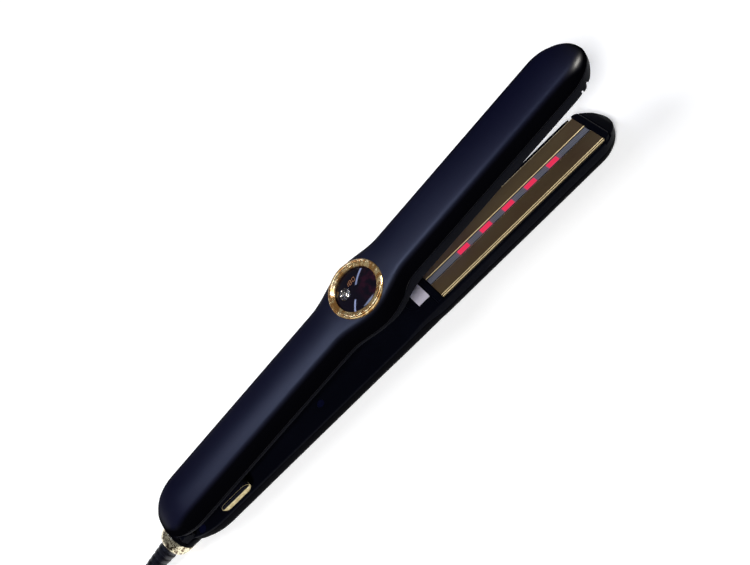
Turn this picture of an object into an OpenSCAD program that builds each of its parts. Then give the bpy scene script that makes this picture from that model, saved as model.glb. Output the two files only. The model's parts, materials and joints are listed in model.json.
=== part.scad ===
// Hair straightener with two sprung arms, floating heated plates and a round dial.
// Millimetres. X runs from the tail to the tip, Y across the arms, Z up.
// The lower arm lies on its outer face at z = 0 and the arms stand open.
// Each arm is drawn in its own frame: x along the arm from the hinge axis, y across it,
// w outward from the plane in which the plates of both arms meet.

/* [Arms] */
// Distance from the hinge axis to the near end of the plates
handle_l = 171; // [165:1:185]
// Length of the heating plates
plate_l = 110; // [90:1:120]
// Length of the upper arm's tip beyond the plates
tip_l = 14; // [13.5:0.5:18]
// Length of the lower arm's tip beyond the plates
lower_tip_l = 12.5; // [11:0.5:16]
// Length of the upper arm behind the hinge axis
tail_l = 4; // [4:0.5:7]
// Length of the lower arm behind the hinge axis
lower_tail_l = 5; // [4.5:0.5:6]
// Width of both arms
arm_w = 27; // [26.6:0.1:30]
// Depth of an arm, from the meeting plane to the crown of its outer face
arm_depth = 17.3; // [17:0.1:18.5]
// Angle between the arms at rest
open_angle = 7.9; // [6:0.1:10]
// Wall of the outer casings
wall = 1.8; // [1.4:0.1:2]
// Corner radius of the upper casing's section
upper_corner = 6; // [5:0.5:7]
// Corner radius of the lower casing's section
lower_corner = 8; // [6:0.5:8.5]
// Crown radius of the outer faces along the handles
handle_crown = 34; // [30:1:45]
// Crown radius of the outer faces along the plates
jaw_crown = 60; // [50:1:90]
// Length of the rounding at the upper arm's tail
tail_round = 22; // [20:1:26]
// Length of the rounding at the lower arm's tail
lower_tail_round = 24; // [22:1:28]
// Length of the rounding at the upper arm's tip
tip_round = 20; // [18:0.5:22]
// Length of the rounding at the lower arm's tip
lower_tip_round = 18; // [17:0.5:20]
// Depth of the flat that the lower arm rests on
rest_flat = 0.5; // [0.4:0.1:0.6]

/* [Frames] */
// Distance from the meeting plane to the inner face of a handle
handle_face = 3.6; // [3.5:0.1:4]
// Distance from the meeting plane to the rim beside the plates
jaw_face = 1.6; // [1.4:0.1:2]
// Thickness of the inner cover along the handle
cover_t = 1.8; // [1.6:0.1:2]
// Distance from the meeting plane to the parting line beside the plates
jaw_part = 8; // [7.9:0.1:8.6]
// Thickness of the frame's walls beside the plates
side_wall = 1.4; // [1.2:0.1:1.5]
// Parting gap between a casing and its frame
part_gap = 0.1; // [0.05:0.05:0.2]

/* [Plates] */
// Width across the plates of one arm
plates_w = 23; // [21:0.5:23]
// Width of the lamp strip between the two lower plates
strip_w = 4.3; // [3.8:0.1:5]
// Thickness of a plate
plate_t = 2; // [1.8:0.1:2.2]
// Half of the gap that the closed plates keep
plate_gap = 0.15; // [0.1:0.05:0.2]
// Width of the bevel along a plate's edges
plate_bevel = 0.9; // [0.6:0.1:1.2]
// Distance that the plates sink on their cushions
float_travel = 0.8; // [0.5:0.1:1]
// Number of lamps in the strip
lamp_count = 5; // [3:1:6]
// Spacing of the lamps
lamp_pitch = 15.4; // [13:0.1:16]

/* [Dial] */
// Distance from the dial's centre to the near end of the plates
dial_back = 24; // [23:0.5:26]
// Outer diameter of the dial ring
ring_d = 29.4; // [28:0.1:30]
// Clear opening of the dial ring
ring_bore = 22.6; // [22:0.1:24]
// Height of the ring's crest above the crown of the casing
ring_rise = 0.7; // [0.4:0.1:1]
// Extra half width of the upper arm at the dial
swell_w = 4.8; // [4.6:0.1:6]
// Half length of that swelling along the arm
swell_l = 24; // [22:1:28]
// Diameter of the power button
button_d = 5.8; // [5:0.1:6.4]
// Travel of the power button
button_travel = 0.6; // [0.4:0.1:0.8]

/* [Hinge] */
// Diameter of the hinge pin
pin_d = 3; // [2.6:0.1:3.2]
// Outer diameter of the hinge ears and knuckles
ear_d = 6.4; // [6:0.1:6.6]
// Running clearance of the pin in the knuckles, on the radius
pin_clear = 0.05; // [0.03:0.01:0.08]
// Wire of the torsion spring
spring_wire = 0.8; // [0.7:0.05:0.9]
// Whole turns of the torsion spring
spring_turns = 4; // [3:1:4]

/* [Lock] */
// Distance from the hinge axis to the tail end of the lock
lock_x = 22.2; // [21:0.2:26]
// Length of the lock's end caps
lock_l = 18; // [16:0.5:19]
// Travel of the lock along the arm
lock_travel = 4; // [3.5:0.1:4.5]
// Thickness of the end caps across the arm
lock_cap_t = 2.4; // [2:0.1:3]

/* [Cord] */
// Diameter of the cord
cord_d = 6; // [5.4:0.1:6.2]
// Diameter of the collar at its wide end
collar_d = 17.6; // [17.2:0.1:17.8]
// Length of the collar
collar_l = 6.6; // [6.4:0.1:9]
// Length of the strain relief
relief_l = 23.4; // [22:0.1:25]
// Diameter of the strain relief at the collar
relief_d = 10.4; // [9.6:0.1:10.8]

/* [Hidden] */
$fn = 48;
e = 0.01;
fit_gap = 0.1;      // sliding clearance between pieces of one arm
seat = 0.05;        // clearance between faces that touch

// Places along the arm
plate_x0 = handle_l;
plate_x1 = handle_l + plate_l;
tip_x = plate_x1 + tip_l;
lower_tip_x = plate_x1 + lower_tip_l;
dial_x = handle_l - dial_back;
face_ramp0 = handle_l - 27;
face_ramp1 = handle_l - 17;
part_ramp0 = handle_l - 14;
part_ramp1 = handle_l - 4;
handle_part = handle_face + cover_t;

// Places across the meeting plane
meet_z = arm_depth - rest_flat;
plate_w1 = plate_gap + plate_t;
heater_t = 2;
heater_end = 20;
heater_x0 = plate_x0 + heater_end;
heater_x1 = plate_x1 - heater_end;
heater_w1 = plate_w1 + heater_t;
tray_t = 1;
tray_w1 = heater_w1 + tray_t;
carrier_w1 = jaw_part;
carrier_t = 1.2;
carrier_w0 = carrier_w1 - carrier_t;
block_top = plate_gap + 0.05;
well_hw = arm_w/2 - side_wall;
plates_hw = plates_w/2;

// Well of the carrier, its blocks beyond the plates' ends and the cushions under the plates
plate_end_gap = 0.4;
rim_l = 7.5;
well_x0 = plate_x0 - 3.8;
well_x1 = plate_x1 + 4.4;
well_step = plate_x1 - 2.6;
cap_w1 = plate_w1 + float_travel + 0.3;
block_hw = 8.6;
block_edge = 0.8;
block_corner = 3.6;
tongue_hw = 6.6;
tongue_x = handle_l - 10;
cushion_r = 2.5;
cushion_y = 6.5;

// The cord's exit: the neck's axis falls one part in six towards the tail
neck_fall = atan(1/6);
neck_x = -5.6;
neck_w = 7.5;
neck_d = 17.2;
neck_bore_d = 10.4;
neck_l = 7;
spigot_d = 14;
spigot_l = 3;
collar_lip = 1.2;
bush_t = collar_l - collar_lip - spigot_l - 2*fit_gap;
relief_tip_d = cord_d + 0.8;
relief_s0 = collar_l + fit_gap;
relief_s1 = relief_s0 + relief_l;
exit_x = neck_x - relief_s1*cos(neck_fall);
exit_w = neck_w + relief_s1*sin(neck_fall);
object_x0 = exit_x - relief_tip_d/2*sin(neck_fall);
rim_w = 4;
object_x1 = max(lower_tip_x, tip_x*cos(open_angle) - rim_w*sin(open_angle));
hinge_x = -(object_x1 + object_x0)/2;

// Screws: centre, and the height of the face under the cap
screw_a_x = 7.4;
screw_a_y = 9;
screw_b_x = 91;
screw_b_y = 4.5;
screw_c_x = handle_l - 8;
screw_r = 1.1;
screw_l = 5.5;
head_r = 2;
head_t = 1.35;
cap_t = 0.5;
thin_head_t = 0.5;
tongue_t = 1;
tongue_w = jaw_face - tongue_t;
label_t = 0.15;
boss_r = 3.4;
boss_h = 2;
post_r = 2.4;

// Ears on the lower cover, and knuckles between them on the upper cover
knuckle_y0 = 3.6;
knuckle_y1 = 6.6;
ear_y0 = knuckle_y1 + 0.2;
ear_y1 = ear_y0 + 2.2;
hinge_cap_t = 0.75;
lower_cover_x0 = -4.2;
upper_cover_x0 = 0.02 - tail_l;

// Torsion spring round the pin, with one leg on each inner cover
spring_r = handle_face - spring_wire/2 - fit_gap;
spring_pitch = spring_wire + 0.45;
spring_angle = 180 - open_angle + 360*spring_turns;
spring_y0 = -spring_pitch*spring_angle/720;
spring_leg = 13;
spring_sides = 6;

// Power board on its posts, and the room for parts between it and the casing
board_w0 = handle_part + 3.2;
board_t = 1.6;
board_hw = 8.6;
board_mid = board_w0 + board_t/2;
board_top = board_w0 + board_t + seat;
board_x0 = lock_x + 26;
board_x1 = screw_b_x + 40;
board_post_r = 1.8;
board_post_y = 7;
part_room = 1.35;
part_h = arm_depth - rest_flat - wall - part_room - board_top;
capacitor_r = 3;
// Blocks on the board: start, length, middle across the arm, half width, share of the tallest part's height
board_blocks = [
    [lock_x + 30, 14, 0, 5, 0.94], [screw_b_x + 8, 12, -2, 4, 0.88], [screw_b_x + 28, 7, 0, 4, 0.76]
];

// Leads: the pair across the hinge, the pair beside the ramp and their drop through the carrier
lead_r = 0.8;
hinge_lead_x = 17;
hinge_lead_y = 4.5;
hinge_lead_w = handle_part + 1.6;
loom_y = 4.6;
drop_x = plate_x0 + 3.5;
drop_y = 2.2;
drop_w0 = carrier_w0 + 0.3;
drop_w1 = carrier_w0 + 2.6;

// Dial: the ring's seat, the glass and the button in it, the board and the display under it
dial_seat_w = arm_depth - 2.6;
flange_t = 2.4;
glass_r = ring_bore/2 + 0.4;
glass_base = dial_seat_w + 2*seat;
glass_edge = 1.1;
glass_rise = 1.5;
glass_top = glass_base + glass_edge + glass_rise;
button_x = -5.3;
button_y = 2.2;
button_flange_t = 0.5;
display_board_t = 1.4;
display_top = dial_seat_w - flange_t;
display_w = display_top - display_board_t;
connector_x0 = -4;
connector_x1 = 3;
connector_h = 2.5;
connector_w = display_w - 1.3;

// Lamps under the lens strip
lamp_hl = 3.4;
lamp_hw = 1.5;
lamp_top = plate_w1 + 0.15;
lamp_seat = heater_w1 - 0.8;

// Lock: a bar between two end caps, with a lip, and a foot behind the cover; and the staple that it catches
lock_top = handle_face - 0.3;
lock_y1 = arm_w/2 - 0.9;
lip_t = 1.2;
lip_l = 3;
lip_hw = 3.6;
foot_x0 = lock_x + 3;
foot_x1 = lock_x + 13;
foot_hw = 4;
foot_neck_hw = 2;
catch_x0 = lock_x + lock_l + 3.4;
catch_l = 2;
catch_hw = 6;
catch_leg = 1.4;
catch_w = -2.5;
catch_bar = 1.3;

// Ribs of the strain relief
rib_count = 6;
rib_depth = 0.8;
relief_end = 3;

// Hank: the cord's turns lie beside and on each other, and a strap draws them in at the waist
cord_z = cord_d/2 + seat;
tie_t = 0.6;
tie_l = 12;
hank_x = -250;
hank_y = -12;
hank_z = cord_z + tie_t + fit_gap;
hank_run = 60;
hank_r = 23;
hank_draw = 4;
hank_pitch = cord_d + 0.6;
hank_turns = 1.5;
hank_layers = 4;
hank_rings = 24;
hank_sides = 6;

// Plug on top of the hank, its pins towards the object
plug_x = -280;
plug_y = -32;
plug_w = 26;
plug_l = 27;
plug_t = 13.6;
plug_z = hank_z + (hank_layers - 1)*hank_pitch + cord_d/2 + fit_gap + tie_t + 3*seat + plug_t/2;
plug_corner = 3;
plug_shoulder = 8;
plug_neck_hw = 6;
plug_relief_l = 10;
pin_pitch = 18.6;
pin_out = 17.5;
pin_in = 8;
pin_tip = 1.5;
plug_pin_d = 4;

module lower() {
    translate([hinge_x, 0, meet_z]) mirror([0, 0, 1]) children();
}

module upper() {
    translate([hinge_x, 0, meet_z]) rotate([0, -open_angle, 0]) children();
}

// Outline of an arm: 0 at an end, rising to 1 over the rounding
function rise(u, n) = u >= 1 ? 1 : pow(1 - pow(1 - max(u, 0), n), 1/n);
function tail(up) = up ? tail_l : lower_tail_l;
function tail_bend(up) = up ? tail_round : lower_tail_round;
function tip(up) = up ? tip_x : lower_tip_x;
function tip_bend(up) = up ? tip_round : lower_tip_round;
function plan_k(x, up) =
    rise((x + tail(up))/tail_bend(up), up ? 2.3 : 2)*rise((tip(up) - x)/tip_bend(up), 2);
function depth_k(x, up) = rise((x + tail(up))/tail_bend(up), 2)*rise((tip(up) - x)/tip_bend(up), 2);
function swell(x) = abs(x - dial_x) < swell_l ? (1 + cos(180*(x - dial_x)/swell_l))/2 : 0;
function ramp(x, x0, x1, a, b) = x <= x0 ? a : x >= x1 ? b : a + (b - a)*(x - x0)/(x1 - x0);
function half_w(x, up) = arm_w/2*plan_k(x, up) + (up ? swell_w*swell(x) : 0);
function part_w(x) = ramp(x, part_ramp0, part_ramp1, handle_part, jaw_part);

// Stations along the arm, closer together where the outline bends
function spread(x0, x1, n) = [for (i = [1:n]) x0 + (x1 - x0)*i/n];
function end_spread(x0, x1, n) = [for (i = [1:n]) x0 + (x1 - x0)*(1 - cos(90*i/n))];
function stations(up) =
    let (x0 = -tail(up), x1 = x0 + tail_bend(up))
    concat(
        [x0 + 0.02], end_spread(x0, x1, 9), spread(x1, dial_x - swell_l, 4),
        spread(dial_x - swell_l, part_ramp0, 9),
        spread(part_ramp0, part_ramp1, 2), [dial_x + swell_l + 1, dial_x + swell_l + 8],
        spread(dial_x + swell_l + 8, tip(up) - tip_bend(up), 3),
        [for (i = [1:8]) tip(up) - tip_bend(up)*(1 - sin(90*i/9))], [tip(up) - 0.05, tip(up) - 0.005]);

// One section of a casing: near side wall, corner, crown, corner, far side wall
function section(x, up, inset, drop) =
    let (
        corner = up ? upper_corner : lower_corner,
        a = max(half_w(x, up) - inset, 0.15),
        base = part_w(x) + part_gap,
        top = base + max((arm_depth - base)*depth_k(x, up) - inset, 0.15),
        r = min(corner - inset*0.6, a*0.8, (top - base)*0.8),
        flat_r = max(ramp(x, dial_x - swell_l, dial_x, handle_crown, jaw_crown + 20*swell(x)), a + 1),
        c = max(top - flat_r + sqrt(pow(flat_r - r, 2) - pow(a - r, 2)), base + 0.1),
        lean = asin((a - r)/(flat_r - r)),
        low = up ? 1000 : arm_depth - rest_flat - inset
    )
    [
        [x, -a, base - drop],
        for (i = [0:6]) let (t = 180 - (90 - lean)*i/6) [x, -a + r + r*cos(t), min(c + r*sin(t), low)],
        for (i = [1:5]) let (t = 90 + lean - 2*lean*i/6)
            [x, flat_r*cos(t), min(top - flat_r + flat_r*sin(t), low)],
        for (i = [0:6]) let (t = 90 - lean - (90 - lean)*i/6) [x, a - r + r*cos(t), min(c + r*sin(t), low)],
        [x, a, base - drop]
    ];

// A closed skin over rings of equal length
module skin(rings) {
    n = len(rings[0]);
    m = len(rings);
    points = [for (ring = rings) for (p = ring) p];
    sides = [
        for (i = [0:m - 2]) for (j = [0:n - 1]) let (a = i*n + j, b = i*n + (j + 1)%n)
            each [[a, b, b + n], [a, b + n, a + n]]
    ];
    polyhedron(points, concat(sides, [[for (j = [n - 1:-1:0]) j]], [[for (j = [0:n - 1]) (m - 1)*n + j]]));
}

module casing_form(up, inset, drop, x0, x1) {
    skin([for (x = stations(up)) if (x >= x0 && x <= x1) section(x, up, inset, drop)]);
}

// Plan outline of an arm, as a polygon
module plan(up, x0, x1, inset) {
    xs = [for (x = stations(up)) if (x > x0 && x < x1) x];
    all_x = concat([x0], xs, [x1]);
    near = [for (x = all_x) [x, -max(half_w(x, up) - inset, 0.1)]];
    far = [for (i = [len(all_x) - 1:-1:0]) [all_x[i], max(half_w(all_x[i], up) - inset, 0.1)]];
    polygon(concat(near, far));
}

// A slab between two heights, cut to a plan outline
module plan_slab(up, x0, x1, w0, w1, inset = 0) {
    translate([0, 0, w0]) linear_extrude(w1 - w0) plan(up, x0, x1, inset);
}

// A shape drawn in x and w, extruded across the arm
module across(y0, y1) {
    translate([0, y1, 0]) rotate([90, 0, 0]) linear_extrude(y1 - y0) children();
}

module box(x0, x1, y0, y1, w0, w1) {
    translate([x0, y0, w0]) cube([x1 - x0, y1 - y0, w1 - w0]);
}

module rod(x, y, w0, w1, r) {
    translate([x, y, w0]) cylinder(h = w1 - w0, r = r);
}

// Places of the screws that hold a frame to its casing
module at_screws() {
    for (s = [-1, 1]) {
        translate([screw_a_x, s*screw_a_y, 0]) children();
        translate([screw_b_x, s*screw_b_y, 0]) children();
    }
}

// Along the neck's axis: z runs outward from the neck's end face
module along_neck() {
    translate([neck_x, 0, neck_w]) rotate([0, -90 + neck_fall, 0]) mirror([0, 1, 0]) children();
}

// Posts inside a casing that take the screws
module screw_posts(up) {
    post_w0 = handle_part + boss_h + seat;
    at_screws() rod(0, 0, post_w0, post_w0 + 6, post_r);
    rod(screw_c_x, 0, jaw_face + cover_t + 2*seat, arm_depth - wall/2, post_r);
    for (s = [-1, 1]) rod(screw_b_x, s*screw_b_y, post_w0, arm_depth - wall/2 - 0.4, post_r);
}

module post_bores() {
    w1 = handle_face + cap_t + head_t + screw_l + 0.5;
    at_screws() rod(0, 0, handle_part, w1, screw_r + seat);
    rod(screw_c_x, 0, jaw_face, jaw_face + screw_l + 0.5, screw_r + seat);
}

module casing(up) {
    difference() {
        union() {
            difference() {
                casing_form(up, 0, 0, -100, 1000);
                casing_form(up, wall, 2, 3 - tail(up), tip(up) - 2.4);
            }
            intersection() {
                casing_form(up, wall/2, 4, 2 - tail(up), tip(up) - 2);
                screw_posts(up);
            }
        }
        post_bores();
    }
}

// The frame of an arm: inner cover along the handle, walls beside the plates
module frame(up, x0) {
    difference() {
        union() {
            intersection() {
                plan_slab(up, x0, tip(up) - 0.005, jaw_face - e, jaw_part + e);
                across(-40, 40) polygon([
                    [x0 - 1, handle_face], [face_ramp0, handle_face], [face_ramp1, jaw_face],
                    [tip(up) - rim_l, jaw_face], [tip(up) - rim_l/3, rim_w], [tip(up) + 1, rim_w + 2.4],
                    [tip(up) + 1, jaw_part], [part_ramp1, jaw_part],
                    [part_ramp0, handle_part], [x0 - 1, handle_part]
                ]);
            }
            intersection() {
                plan_slab(up, x0 + wall, screw_c_x, handle_part - e, handle_part + boss_h, wall + fit_gap);
                at_screws() rod(0, 0, handle_part - e, handle_part + boss_h, boss_r);
            }
        }
        // holes for the leads that cross the hinge
        for (s = [-1, 1]) rod(hinge_lead_x, s*hinge_lead_y, handle_face - 1, handle_part + 1, lead_r + 0.4);
        // well for the carrier
        box(well_x0, well_step, -well_hw, well_hw, jaw_face - 1, jaw_part + 1);
        box(well_step - e, well_x1, -well_hw - 1, well_hw + 1, jaw_face - 1, cap_w1 + fit_gap);
        box(well_step - e, well_x1, -block_hw - fit_gap, block_hw + fit_gap, jaw_face - 1, jaw_part + 1);
        // hollow behind the ramp
        across(-well_hw + 1, well_hw - 1) polygon([
            [part_ramp0 - 6, handle_part + e], [face_ramp1 + 3, jaw_face + cover_t],
            [well_x0 - 1.6, jaw_face + cover_t], [well_x0 - 1.6, jaw_part + 1],
            [part_ramp0 - 6, jaw_part + 1]
        ]);
        // screw holes with their counterbores
        at_screws() {
            rod(0, 0, handle_face - 1, handle_part + boss_h + 1, screw_r + 0.2);
            rod(0, 0, handle_face - 1, handle_face + cap_t + head_t, head_r + 0.15);
        }
        rod(screw_c_x, 0, 0, jaw_part, screw_r + 0.2);
    }
}

// Ear or knuckle round the hinge axis, joined to the inner cover
module hinge_lug(y0, y1, bore_r) {
    difference() {
        union() {
            across(y0, y1) circle(d = ear_d);
            box(-ear_d/2, ear_d/2, y0, y1, 0, handle_face + 0.5);
        }
        across(y0 - 1, y1 + 1) circle(r = bore_r);
    }
}

// Carrier: floor under the floating plates, a block at each end and a tongue over the cover
module carrier() {
    hw = well_hw - fit_gap;
    x0 = well_x0 + fit_gap;
    x1 = well_x1 - fit_gap;
    b0 = plate_x0 - plate_end_gap;
    b1 = plate_x1 + plate_end_gap;
    floor_x1 = well_step - fit_gap;
    edge_w = block_top + block_edge;
    difference() {
        union() {
            across(-hw, hw) polygon([
                [x0, edge_w], [x0, carrier_w1], [floor_x1, carrier_w1], [floor_x1, carrier_w0],
                [b0, carrier_w0], [b0, block_top], [x0 + block_edge, block_top]
            ]);
            box(floor_x1 - e, x1, -block_hw, block_hw, carrier_w0, carrier_w1);
            box(b1, x1, -block_hw, block_hw, block_top + 1, carrier_w1);
            intersection() {
                translate([0, 0, block_top]) linear_extrude(cap_w1 - block_top)
                    rounded_end(b1, x1, hw, block_corner);
                across(-hw, hw) polygon([
                    [b1, block_top], [b1, cap_w1], [x1, cap_w1], [x1, edge_w], [x1 - block_edge, block_top]
                ]);
            }
            translate([0, 0, tongue_w]) linear_extrude(tongue_t - seat) {
                translate([tongue_x, -tongue_hw]) square([x0 + 0.5 - tongue_x, 2*tongue_hw]);
                translate([tongue_x, 0]) circle(r = tongue_hw);
            }
        }
        // screw through the tongue
        rod(screw_c_x, 0, -1, jaw_face + 1, screw_r + 0.2);
        rod(screw_c_x, 0, -1, tongue_w + thin_head_t, head_r + 0.15);
        // way for the leads
        box(drop_x - 2.5, drop_x + 2.5, -drop_y - 1.8, drop_y + 1.8, carrier_w0 - 1, carrier_w1 + 1);
    }
}

// End of a block, square to its far side and rounded at the two outer corners
module rounded_end(x0, x1, hw, r) {
    translate([x0, -hw]) square([x1 - r - x0, 2*hw]);
    translate([x0, r - hw]) square([x1 - x0, 2*(hw - r)]);
    for (s = [-1, 1]) translate([x1 - r, s*(hw - r)]) circle(r = r);
}

module cushions() {
    for (u = [0.2, 0.8]) for (s = [-1, 1])
        rod(plate_x0 + u*plate_l, s*cushion_y, tray_w1 + seat, carrier_w0 - seat, cushion_r);
}

module screws() {
    at_screws() {
        rod(0, 0, handle_face + cap_t, handle_face + cap_t + head_t - seat, head_r);
        rod(0, 0, handle_face + cap_t, handle_face + cap_t + head_t + screw_l, screw_r);
    }
    rod(screw_c_x, 0, tongue_w + seat, tongue_w + thin_head_t - seat, head_r);
    rod(screw_c_x, 0, tongue_w + seat, jaw_face + screw_l, screw_r);
}

// Heating plate: flat face, bevelled edges, ends cut square
module plate(y0, y1, bevel0, bevel1) {
    translate([plate_x0, 0, 0]) rotate([90, 0, 90]) linear_extrude(plate_l) polygon([
        [y0, plate_w1], [y0, plate_gap + bevel0], [y0 + bevel0, plate_gap],
        [y1 - bevel1, plate_gap], [y1, plate_gap + bevel1], [y1, plate_w1]
    ]);
}

module heater_tray() {
    hw = plates_hw - 0.3;
    x0 = plate_x0 + 3;
    x1 = plate_x1 - 3;
    difference() {
        box(x0, x1, -hw, hw, plate_w1 + seat, tray_w1);
        box(x0 - 1, x1 + 1, -hw + 0.8, hw - 0.8, plate_w1 - 1, heater_w1 + seat);
    }
}

// A smooth curve through points, n steps to each stretch
function through(p, n) = concat(
    [for (i = [0:len(p) - 2]) for (j = [0:n - 1])
        let (t = j/n, a = p[i], chord = p[i + 1] - a, l = norm(chord))
            a + chord*t*t*(3 - 2*t) + tangent(p, i)*l*t*(1 - t)*(1 - t) - tangent(p, i + 1)*l*t*t*(1 - t)],
    [p[len(p) - 1]]);

// Lead: a thin round wire bent through points
module lead(points, r) {
    tube(through(points, 4), r, 6);
}

// Lower arm
module lower_shell() {
    color([0.03, 0.03, 0.06]) lower() difference() {
        union() {
            casing(false);
            along_neck() {
                translate([0, 0, -neck_l]) cylinder(h = neck_l, d1 = neck_d + 1.6, d2 = neck_d);
                cylinder(h = spigot_l, d = spigot_d);
            }
        }
        along_neck() translate([0, 0, -neck_l - 3]) cylinder(h = neck_l + spigot_l + 4, d = neck_bore_d);
        clear_of_cover();
    }
}

// Room for the lower cover and the hinge above the neck
module clear_of_cover() {
    box(lower_cover_x0 - fit_gap, 20, -12, 12, -6, handle_part + part_gap);
}

module lower_frame() {
    color([0.02, 0.02, 0.03]) lower() difference() {
        union() {
            frame(false, lower_cover_x0);
            for (y0 = [-ear_y1, ear_y0]) hinge_lug(y0, y0 + ear_y1 - ear_y0, pin_d/2 + 0.02);
            for (x = [board_x0 + 5, board_x1 - 6]) for (s = [-1, 1])
                rod(x, s*board_post_y, handle_part - e, board_w0 - seat, board_post_r);
        }
        // slot of the lock
        box(foot_x0 - 0.3, foot_x1 + lock_travel + 0.3, -foot_neck_hw - 0.2, foot_neck_hw + 0.2,
            handle_face - 1, handle_part + 1);
    }
}

module lower_carrier() {
    color([0.05, 0.06, 0.12]) lower() carrier();
}

module lower_cushions() {
    color([0.75, 0.3, 0.2]) lower() cushions();
}

module lower_screws() {
    color([0.6, 0.6, 0.62]) lower() screws();
}

module screw_caps() {
    at_screws() rod(0, 0, handle_face + seat, handle_face + cap_t - seat, head_r + 0.1);
}

module lower_screw_caps() {
    color([0.1, 0.12, 0.2]) lower() screw_caps();
}

module sticker() {
    color([0.92, 0.92, 0.94]) lower()
        box(screw_c_x - 3.6, screw_c_x + 3.6, -6.2, 4.2, tongue_w - seat - label_t, tongue_w - seat);
}

module hinge_pin() {
    color([0.7, 0.7, 0.72]) lower() across(-ear_y1 + seat, ear_y1 - seat) circle(d = pin_d);
}

module hinge_caps() {
    color([0.1, 0.12, 0.2]) lower() for (y0 = [-ear_y1 - seat - hinge_cap_t, ear_y1 + seat])
        across(y0, y0 + hinge_cap_t) circle(d = ear_d - 1);
}

// One wire: a straight leg, turns round the pin, a straight leg
function spring_point(t) =
    [-spring_r*sin(t), spring_y0 + spring_pitch*t/360, -spring_r*cos(t)];
spring_path = concat(
    [[spring_leg, spring_y0, -spring_r]],
    [for (t = [0:45:spring_angle - 20]) spring_point(t)],
    [spring_point(spring_angle)],
    [spring_point(spring_angle) + [spring_leg*cos(open_angle), 0, spring_leg*sin(open_angle)]]);

function unit(v) = v/norm(v);
function tangent(p, i) =
    unit(unit(p[min(i + 1, len(p) - 1)] - p[min(i, len(p) - 2)]) + unit(p[max(i, 1)] - p[max(i - 1, 0)]));

// A round tube of n sides along points, its rings square to the path and not twisted
module tube(p, r, n, start = [0, 0, 1]) {
    dirs = [for (i = [0:len(p) - 1]) tangent(p, i)];
    firsts = [for (i = 0, s = unit(start - dirs[0]*(start*dirs[0])); i < len(p);
        i = i + 1, s = i < len(p) ? unit(s - dirs[i]*(s*dirs[i])) : s) s];
    skin([for (i = [0:len(p) - 1])
        let (s = firsts[i], q = cross(dirs[i], s))
            [for (j = [0:n - 1]) p[i] + r*(s*cos(360*j/n) - q*sin(360*j/n))]]);
}

module hinge_spring() {
    color([0.75, 0.75, 0.78]) translate([hinge_x, 0, meet_z])
        tube(spring_path, spring_wire/2, spring_sides, [0, 1, 0.3]);
}

module power_board() {
    color([0.1, 0.35, 0.2]) lower() difference() {
        box(board_x0, board_x1, -board_hw, board_hw, board_w0, board_w0 + board_t);
        for (s = [-1, 1]) rod(screw_b_x, s*screw_b_y, board_w0 - 1, board_w0 + board_t + 1, post_r + 0.3);
    }
}

module power_parts() {
    color([0.15, 0.15, 0.17]) lower() {
        for (p = board_blocks)
            box(p[0], p[0] + p[1], p[2] - p[3], p[2] + p[3], board_top, board_top + p[4]*part_h);
        rod(lock_x + 56, capacitor_r, board_top, board_top + part_h, capacitor_r);
    }
}

module lower_leads() {
    loom_w = carrier_w0 + 5.2;
    color([0.7, 0.1, 0.1]) lower() for (s = [-1, 1]) {
        lead([in_neck(4 + seat, s*2*lead_r), in_neck(6, s*2*lead_r), [10, s*2, 9],
              [lock_x + 18, s*3, board_mid], [board_x0 - 3, s*3, board_mid],
              [board_x0 - seat, s*3, board_mid]], lead_r);
        lead([[board_x1 + seat, s*3, board_mid], [board_x1 + 3, s*3, board_mid],
              [part_ramp0, s*loom_y, loom_w], [part_ramp1 - 2, s*loom_y, loom_w],
              [drop_x, s*drop_y, drop_w1], [drop_x, s*drop_y, drop_w0]], lead_r);
    }
}

// Two leads that cross from arm to arm behind the spring
module hinge_leads() {
    color([0.7, 0.1, 0.1]) translate([hinge_x, 0, meet_z]) for (s = [-1, 1])
        lead([[hinge_lead_x, s*hinge_lead_y, -hinge_lead_w], [hinge_lead_x, s*hinge_lead_y, -handle_face],
              [hinge_lead_x - 0.3, s*hinge_lead_y, 2],
              turned(hinge_lead_x, s*hinge_lead_y, handle_face),
              turned(hinge_lead_x, s*hinge_lead_y, hinge_lead_w)], lead_r);
}

// A point inside the neck, s behind its end face
function in_neck(s, y) = [neck_x + s*cos(neck_fall), y, neck_w - s*sin(neck_fall)];

// A point of the upper arm at rest
function turned(x, y, w) =
    [x*cos(open_angle) - w*sin(open_angle), y, x*sin(open_angle) + w*cos(open_angle)];

// Fixed half of the swivel joint, inside the neck
module cord_socket() {
    color([0.85, 0.82, 0.7]) lower()
        difference() {
            along_neck() translate([0, 0, -4]) cylinder(h = 4 + spigot_l, d = neck_bore_d - 2*fit_gap);
            clear_of_cover();
        }
}

module cord_collar() {
    color([0.85, 0.65, 0.3]) lower() along_neck() difference() {
        rotate_extrude() polygon([
            [0, seat], [collar_d/2 - 0.3, seat], [collar_d/2, seat + 0.5],
            [collar_d/2 - 0.15, collar_l*0.45], [collar_d/2 - 0.9, collar_l*0.8],
            [collar_d/2 - 1.5, collar_l - 0.5],
            [collar_d/2 - 2, collar_l], [0, collar_l]
        ]);
        translate([0, 0, -1]) cylinder(h = collar_l - collar_lip + 1, d = spigot_d + 2*seat);
        cylinder(h = collar_l + 1, d = relief_d + 2*0.8);
    }
}

// Floating plates of the lower arm
module lower_plate_near() {
    color([0.62, 0.52, 0.36]) lower() plate(-plates_hw, -strip_w/2, plate_bevel, 0.3);
}

module lower_plate_far() {
    color([0.62, 0.52, 0.36]) lower() plate(strip_w/2, plates_hw, 0.3, plate_bevel);
}

module lamp_lens() {
    color([0.55, 0.6, 0.75]) lower()
        box(plate_x0 + 0.2, plate_x1 - 0.2, -strip_w/2 + 0.05, strip_w/2 - 0.05, plate_gap + 0.35, plate_w1);
}

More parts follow.
